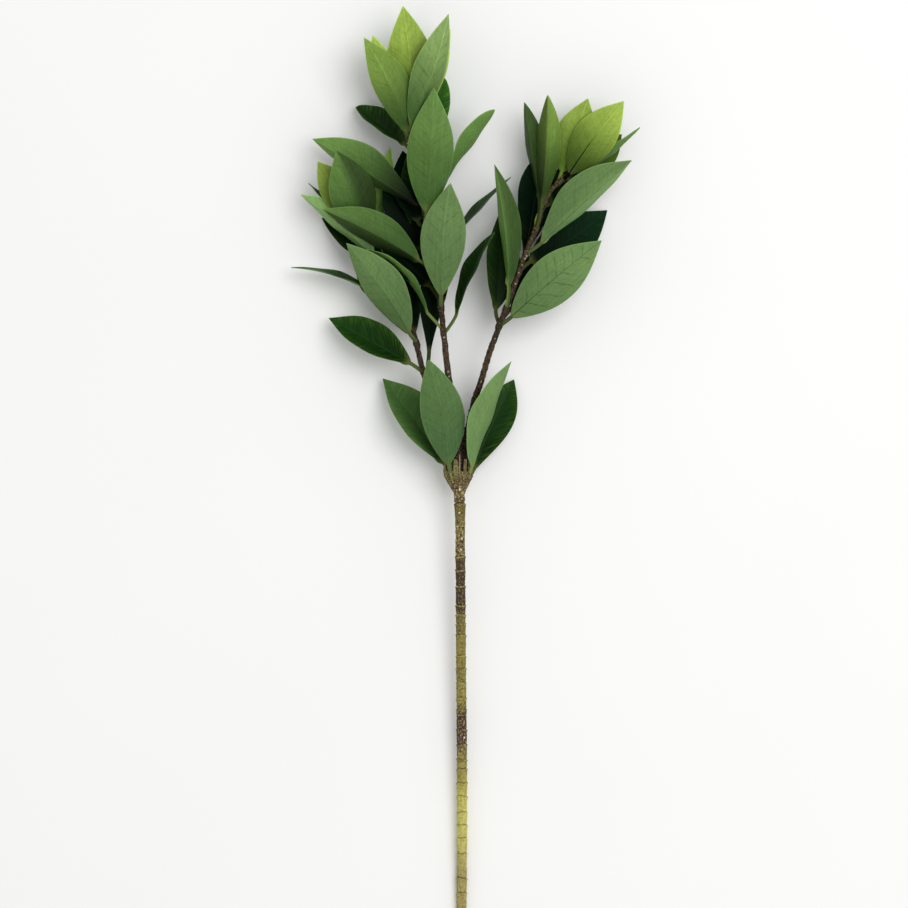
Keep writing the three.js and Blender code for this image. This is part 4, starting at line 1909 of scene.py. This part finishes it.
MIDDLE = Branchlet(
    node="middle_branchlet",
    slot="leaf_mature",
    path=(
        (-5, -7, 30), (-6, 20, 33), (-13.3, 73, 39), (-16.2, 97, 42), (-19, 125, 44), (-21, 145, 45),
        (-27, 176, 46), (-33, 207, 46), (-41, 250, 44), (-46, 272, 43),
    ),
    radii=(2.8, 1.7),
    finish=BROWN_TWIG,
    buds=(BudSpec(0.985),),
    seed=32,
    dots=((-17.1, 106.4), (-13.9, 79), (-13.1, 75.2)),
    leaves=(
        LeafSpec(0.415, (-7.5, 124, 40), (23.2, 190.5, 41), 27, Tone.DEEP, turn=-66, fold=12, arch=4.1,
                 shade=0.85, peak=1.1),
        LeafSpec(0.425, (-30.5, 126, 43), (-78, 177, 42), 28, Tone.FERN, turn=-78, arch=-7, shade=1.5),
        LeafSpec(0.49, (-19.5, 140, 52), (-12, 229, 62), 37, Tone.SAGE, fold=-12, arch=3, sweep=2.2,
                 shade=0.92, rib=0.55, groove=0.9, veins=0.6, peak=1.02),
        LeafSpec(0.515, (-18.6, 134, 36), (-20.5, 206, 8), 16, Tone.PAINTED_SHADE, fold=12, shade=0.5),
        LeafSpec(0.563, (-37, 167.5, 50), (-114, 208.5, 48), 36, Tone.FERN, turn=-24, fold=-36,
                 sweep=-2.7, shade=0.61, halves=-0.46, rib=1.4, groove=1.3),
        LeafSpec(0.585, (-35.5, 176, 33), (-63.2, 243, 24), 32, Tone.PAINTED_SHADE, fold=12, shade=0.4),
        LeafSpec(0.6, (-29.5, 182, 28), (-45, 258, 30), 30, Tone.DEEP, fold=12, shade=0.5),
        LeafSpec(0.5, (-29, 148, 38), (-70, 187, 38), 26, Tone.PAINTED_SHADE, turn=20, fold=10, shade=0.4),
        LeafSpec(0.623, (-18.5, 174, 38), (36.4, 234.7, 34), 26, Tone.DEEP, turn=-76, fold=10, arch=1.9),
        LeafSpec(0.725, (-38, 199, 38), (-50.5, 256.5, 17), 30, Tone.PAINTED_SHADE, fold=15, shade=0.4),
        LeafSpec(0.738, (-31, 206, 52), (-25, 304.5, 60), 38, Tone.FERN, arch=3, shade=1.1, rib=0.15),
        LeafSpec(0.787, (-40.5, 213, 48), (-122.5, 265.5, 27), 39, Tone.FERN, turn=-35, fold=-35,
                 sweep=-0.6, shade=1.44, halves=0.12, deep=0.98, rib=-0.2, peak=1.18),
        LeafSpec(0.8, (-20.8, 221.7, 43), (23.2, 288, 50), 28, Tone.FERN, turn=64, fold=-12, arch=-3.1,
                 shade=1.46, peak=1.8, blunt=0.3),
        LeafSpec(0.9, (-30.6, 256.5, 38), (-17.2, 315, 18), 20.5, Tone.DEEP, fold=12, shade=1.75,
                 blunt=0.3, peak=1.2),
        LeafSpec(0.922, (-48.2, 260.5, 38), (-87.6, 292.2, 6), 27, Tone.DEEP, turn=35, fold=35, shade=0.8,
                 blunt=0.35),
        LeafSpec(0.95, (-49, 274, 32), (-59, 328.5, 0.2), 26, Tone.PAINTED_SHADE, fold=12),
        LeafSpec(0.96, (-46, 270, 50), (-81, 345, 56), 35, Tone.SPRING, turn=-10, fold=-32, sweep=-3,
                 shade=1.1, halves=0.12, deep=0.25, rib=0.8, groove=0.9),
        LeafSpec(0.97, (-40, 279, 35), (-12, 353, 37), 24, Tone.LIME, turn=20, fold=-20, shade=1.3),
        LeafSpec(0.975, (-43, 275, 52), (-13.5, 363.5, 62), 33, Tone.MIST, turn=25, fold=-33, sweep=-2.8,
                 shade=0.97, deep=0.06, rib=1.3, groove=1.3, veins=0.8, peak=0.92),
        LeafSpec(0.98, (-52.5, 282, 37), (-74.2, 348, 40), 24, Tone.LIME, fold=-12, shade=1.16),
        LeafSpec(0.99, (-43, 280.5, 43), (-50, 371, 46), 38, Tone.LIME, fold=-15, sweep=-2.2, halves=0.1,
                 rib=0.7),
    ),
)

RIGHT = Branchlet(
    node="right_branchlet",
    slot="leaf_young",
    path=(
        (-1.5, -7, 24), (-1.4, 14, 27), (6.2, 52, 32), (11.6, 69, 34), (18.6, 92, 36), (26.4, 114, 38),
        (35.5, 138, 39), (45.5, 167, 40), (56.5, 194, 39), (63, 213, 38), (70, 226, 37), (84, 238, 35),
    ),
    radii=(2.8, 1.8),
    finish=BROWN_TWIG,
    buds=(BudSpec(0.8, 14), BudSpec(0.985)),
    seed=33,
    dots=((12.4, 70.6), (40, 149), (47.5, 169.5), (48.8, 171.5)),
    leaves=(
        LeafSpec(0.48, (37, 123, 42), (108.5, 183.5, 50), 39, Tone.SAGE, fold=-8, arch=2, sweep=1,
                 shade=1.08, deep=0.1, rib=-0.8, veins=1),
        LeafSpec(0.485, (24.2, 129, 32), (26.5, 204.5, 24), 32, Tone.DEEP, turn=25, fold=24, sweep=-2,
                 shade=0.5, peak=1),
        LeafSpec(0.5, (37.5, 131, 30), (84, 186, 4), 34, Tone.PAINTED_SHADE, fold=12, shade=0.4),
        LeafSpec(0.535, (34.5, 148, 46), (23, 244, 56), 31, Tone.FERN, turn=-22, fold=-53, sweep=-2.5,
                 shade=1.08, halves=0.52, deep=-0.3, rib=0.6, groove=0.6),
        LeafSpec(0.65, (51.5, 167, 32), (114, 209.2, 0.2), 38, Tone.PAINTED_SHADE, fold=12, sweep=-3, shade=1.1,
                 deep=0.4, peak=0.88),
        LeafSpec(0.713, (60.5, 182, 42), (132.5, 247.5, 50), 42, Tone.SAGE, turn=36, fold=-38, sweep=1.1,
                 shade=1.18, halves=-0.22, rib=-0.7, peak=1.06),
        LeafSpec(0.66, (47.5, 173, 34), (61, 257, 24), 32, Tone.PAINTED_SHADE, turn=14, fold=14, sweep=-0.8,
                 shade=0.5, rib=0.9, peak=1.3),
        LeafSpec(0.79, (60.5, 214, 46), (65.5, 299.5, 54), 35, Tone.SPRING, turn=-9, fold=-55, sweep=-1.4,
                 shade=0.74, halves=-0.31, deep=0.5, peak=1.1, blunt=0.15),
        LeafSpec(0.8, (59, 218, 38), (47, 294.5, 35), 29.5, Tone.FERN, turn=-20, fold=-56, sweep=0.4,
                 shade=0.5, peak=1.15, blunt=0.1),
        LeafSpec(0.87, (68, 214, 30), (109, 256.5, 6), 32, Tone.DEEP, fold=12, shade=0.6),
        LeafSpec(0.953, (77, 239, 34), (98, 297.5, 36), 32, Tone.LIME, shade=0.9, rib=0.6),
        LeafSpec(0.97, (83, 237.5, 40), (126.5, 295, 46), 34, Tone.LIME, sweep=1.4, deep=0.62, rib=0.6,
                 groove=2.4, veins=0.3),
        LeafSpec(0.978, (87, 233.6, 30), (139.8, 274.8, 28), 24, Tone.FERN, turn=76, arch=2.4,
                 shade=1.15),
        LeafSpec(0.988, (90, 236, 23), (125.5, 270, 8), 26, Tone.LIME, fold=10, shade=0.53),
    ),
)


# ---- the studio ----


@dataclass
class Studio:
    """The floor, the light and the camera that looks straight down.

    Places and sizes are metres, except the sensor's, which is millimetres.
    """

    centre: tuple[float, float] = (-0.0092, 0.0132)
    view_width: float = 0.7264
    plant_level: float = 0.035
    camera_height: float = 6.0
    camera_reach: float = 50
    sensor: float = 36.0
    floor_half: float = 4.0
    sky_colour: Colour = (1.0, 1.0, 0.99)
    sky: float = 0.65
    lamp_place: Point = (1.45, 0.95, 3.4)
    lamp_aim: Point = (0.0, 0.1, 0.0)
    lamp_size: float = 2.4
    lamp_power: float = 73.0

    def build_floor(self) -> bpy.types.Object:
        """Lays the floor just under the branch.

        Returns:
            The floor.
        """
        half = self.floor_half
        corners = [(-half, -half, 0), (half, -half, 0), (half, half, 0), (-half, half, 0)]
        mesh = bpy.data.meshes.new("floor")
        mesh.from_pydata(corners, [], [(0, 1, 2, 3)])
        mesh.materials.append(FloorFinish().material("pale_floor"))
        floor = placed("floor", mesh)
        return floor

    def build_light(self) -> None:
        """Hangs one large soft lamp over the upper right and lights the room evenly."""
        world = bpy.data.worlds.new("studio")
        world.use_nodes = True
        backdrop = world.node_tree.nodes["Background"]
        backdrop.inputs["Color"].default_value = (*self.sky_colour, 1.0)
        backdrop.inputs["Strength"].default_value = self.sky
        bpy.context.scene.world = world
        lamp_data = bpy.data.lights.new("softbox", "AREA")
        lamp_data.size = self.lamp_size
        lamp_data.energy = self.lamp_power
        lamp = placed("softbox", lamp_data)
        lamp.location = self.lamp_place
        lamp.rotation_euler = look_along(np.array(self.lamp_aim) - np.array(self.lamp_place))

    def build_camera(self) -> None:
        """Sets the camera straight above the middle of the view."""
        camera_data = bpy.data.cameras.new("camera")
        camera_data.sensor_width = self.sensor
        camera_data.lens = self.sensor * (self.camera_height - self.plant_level) / self.view_width
        camera_data.clip_end = self.camera_reach
        camera = placed("camera", camera_data)
        camera.location = (*self.centre, self.camera_height)
        bpy.context.scene.camera = camera


def look_along(direction: np.ndarray) -> tuple[float, float, float]:
    """The rotation that points a lamp along a direction."""
    x, y, z = unit(direction)
    return (math.acos(-z), 0.0, math.atan2(-x, y))


def main() -> None:
    """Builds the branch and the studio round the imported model."""
    logging.basicConfig(level=logging.INFO, format="%(message)s", stream=sys.stdout)
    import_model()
    bpy.context.scene.view_settings.view_transform = "Standard"
    studio = Studio()
    studio.build_floor()
    studio.build_light()
    studio.build_camera()
    Cane().build()
    ForkCollar(BASAL_LEAVES).build()
    for branchlet in (LEFT, MIDDLE, RIGHT):
        branchlet.build()


if __name__ == "__main__":
    main()
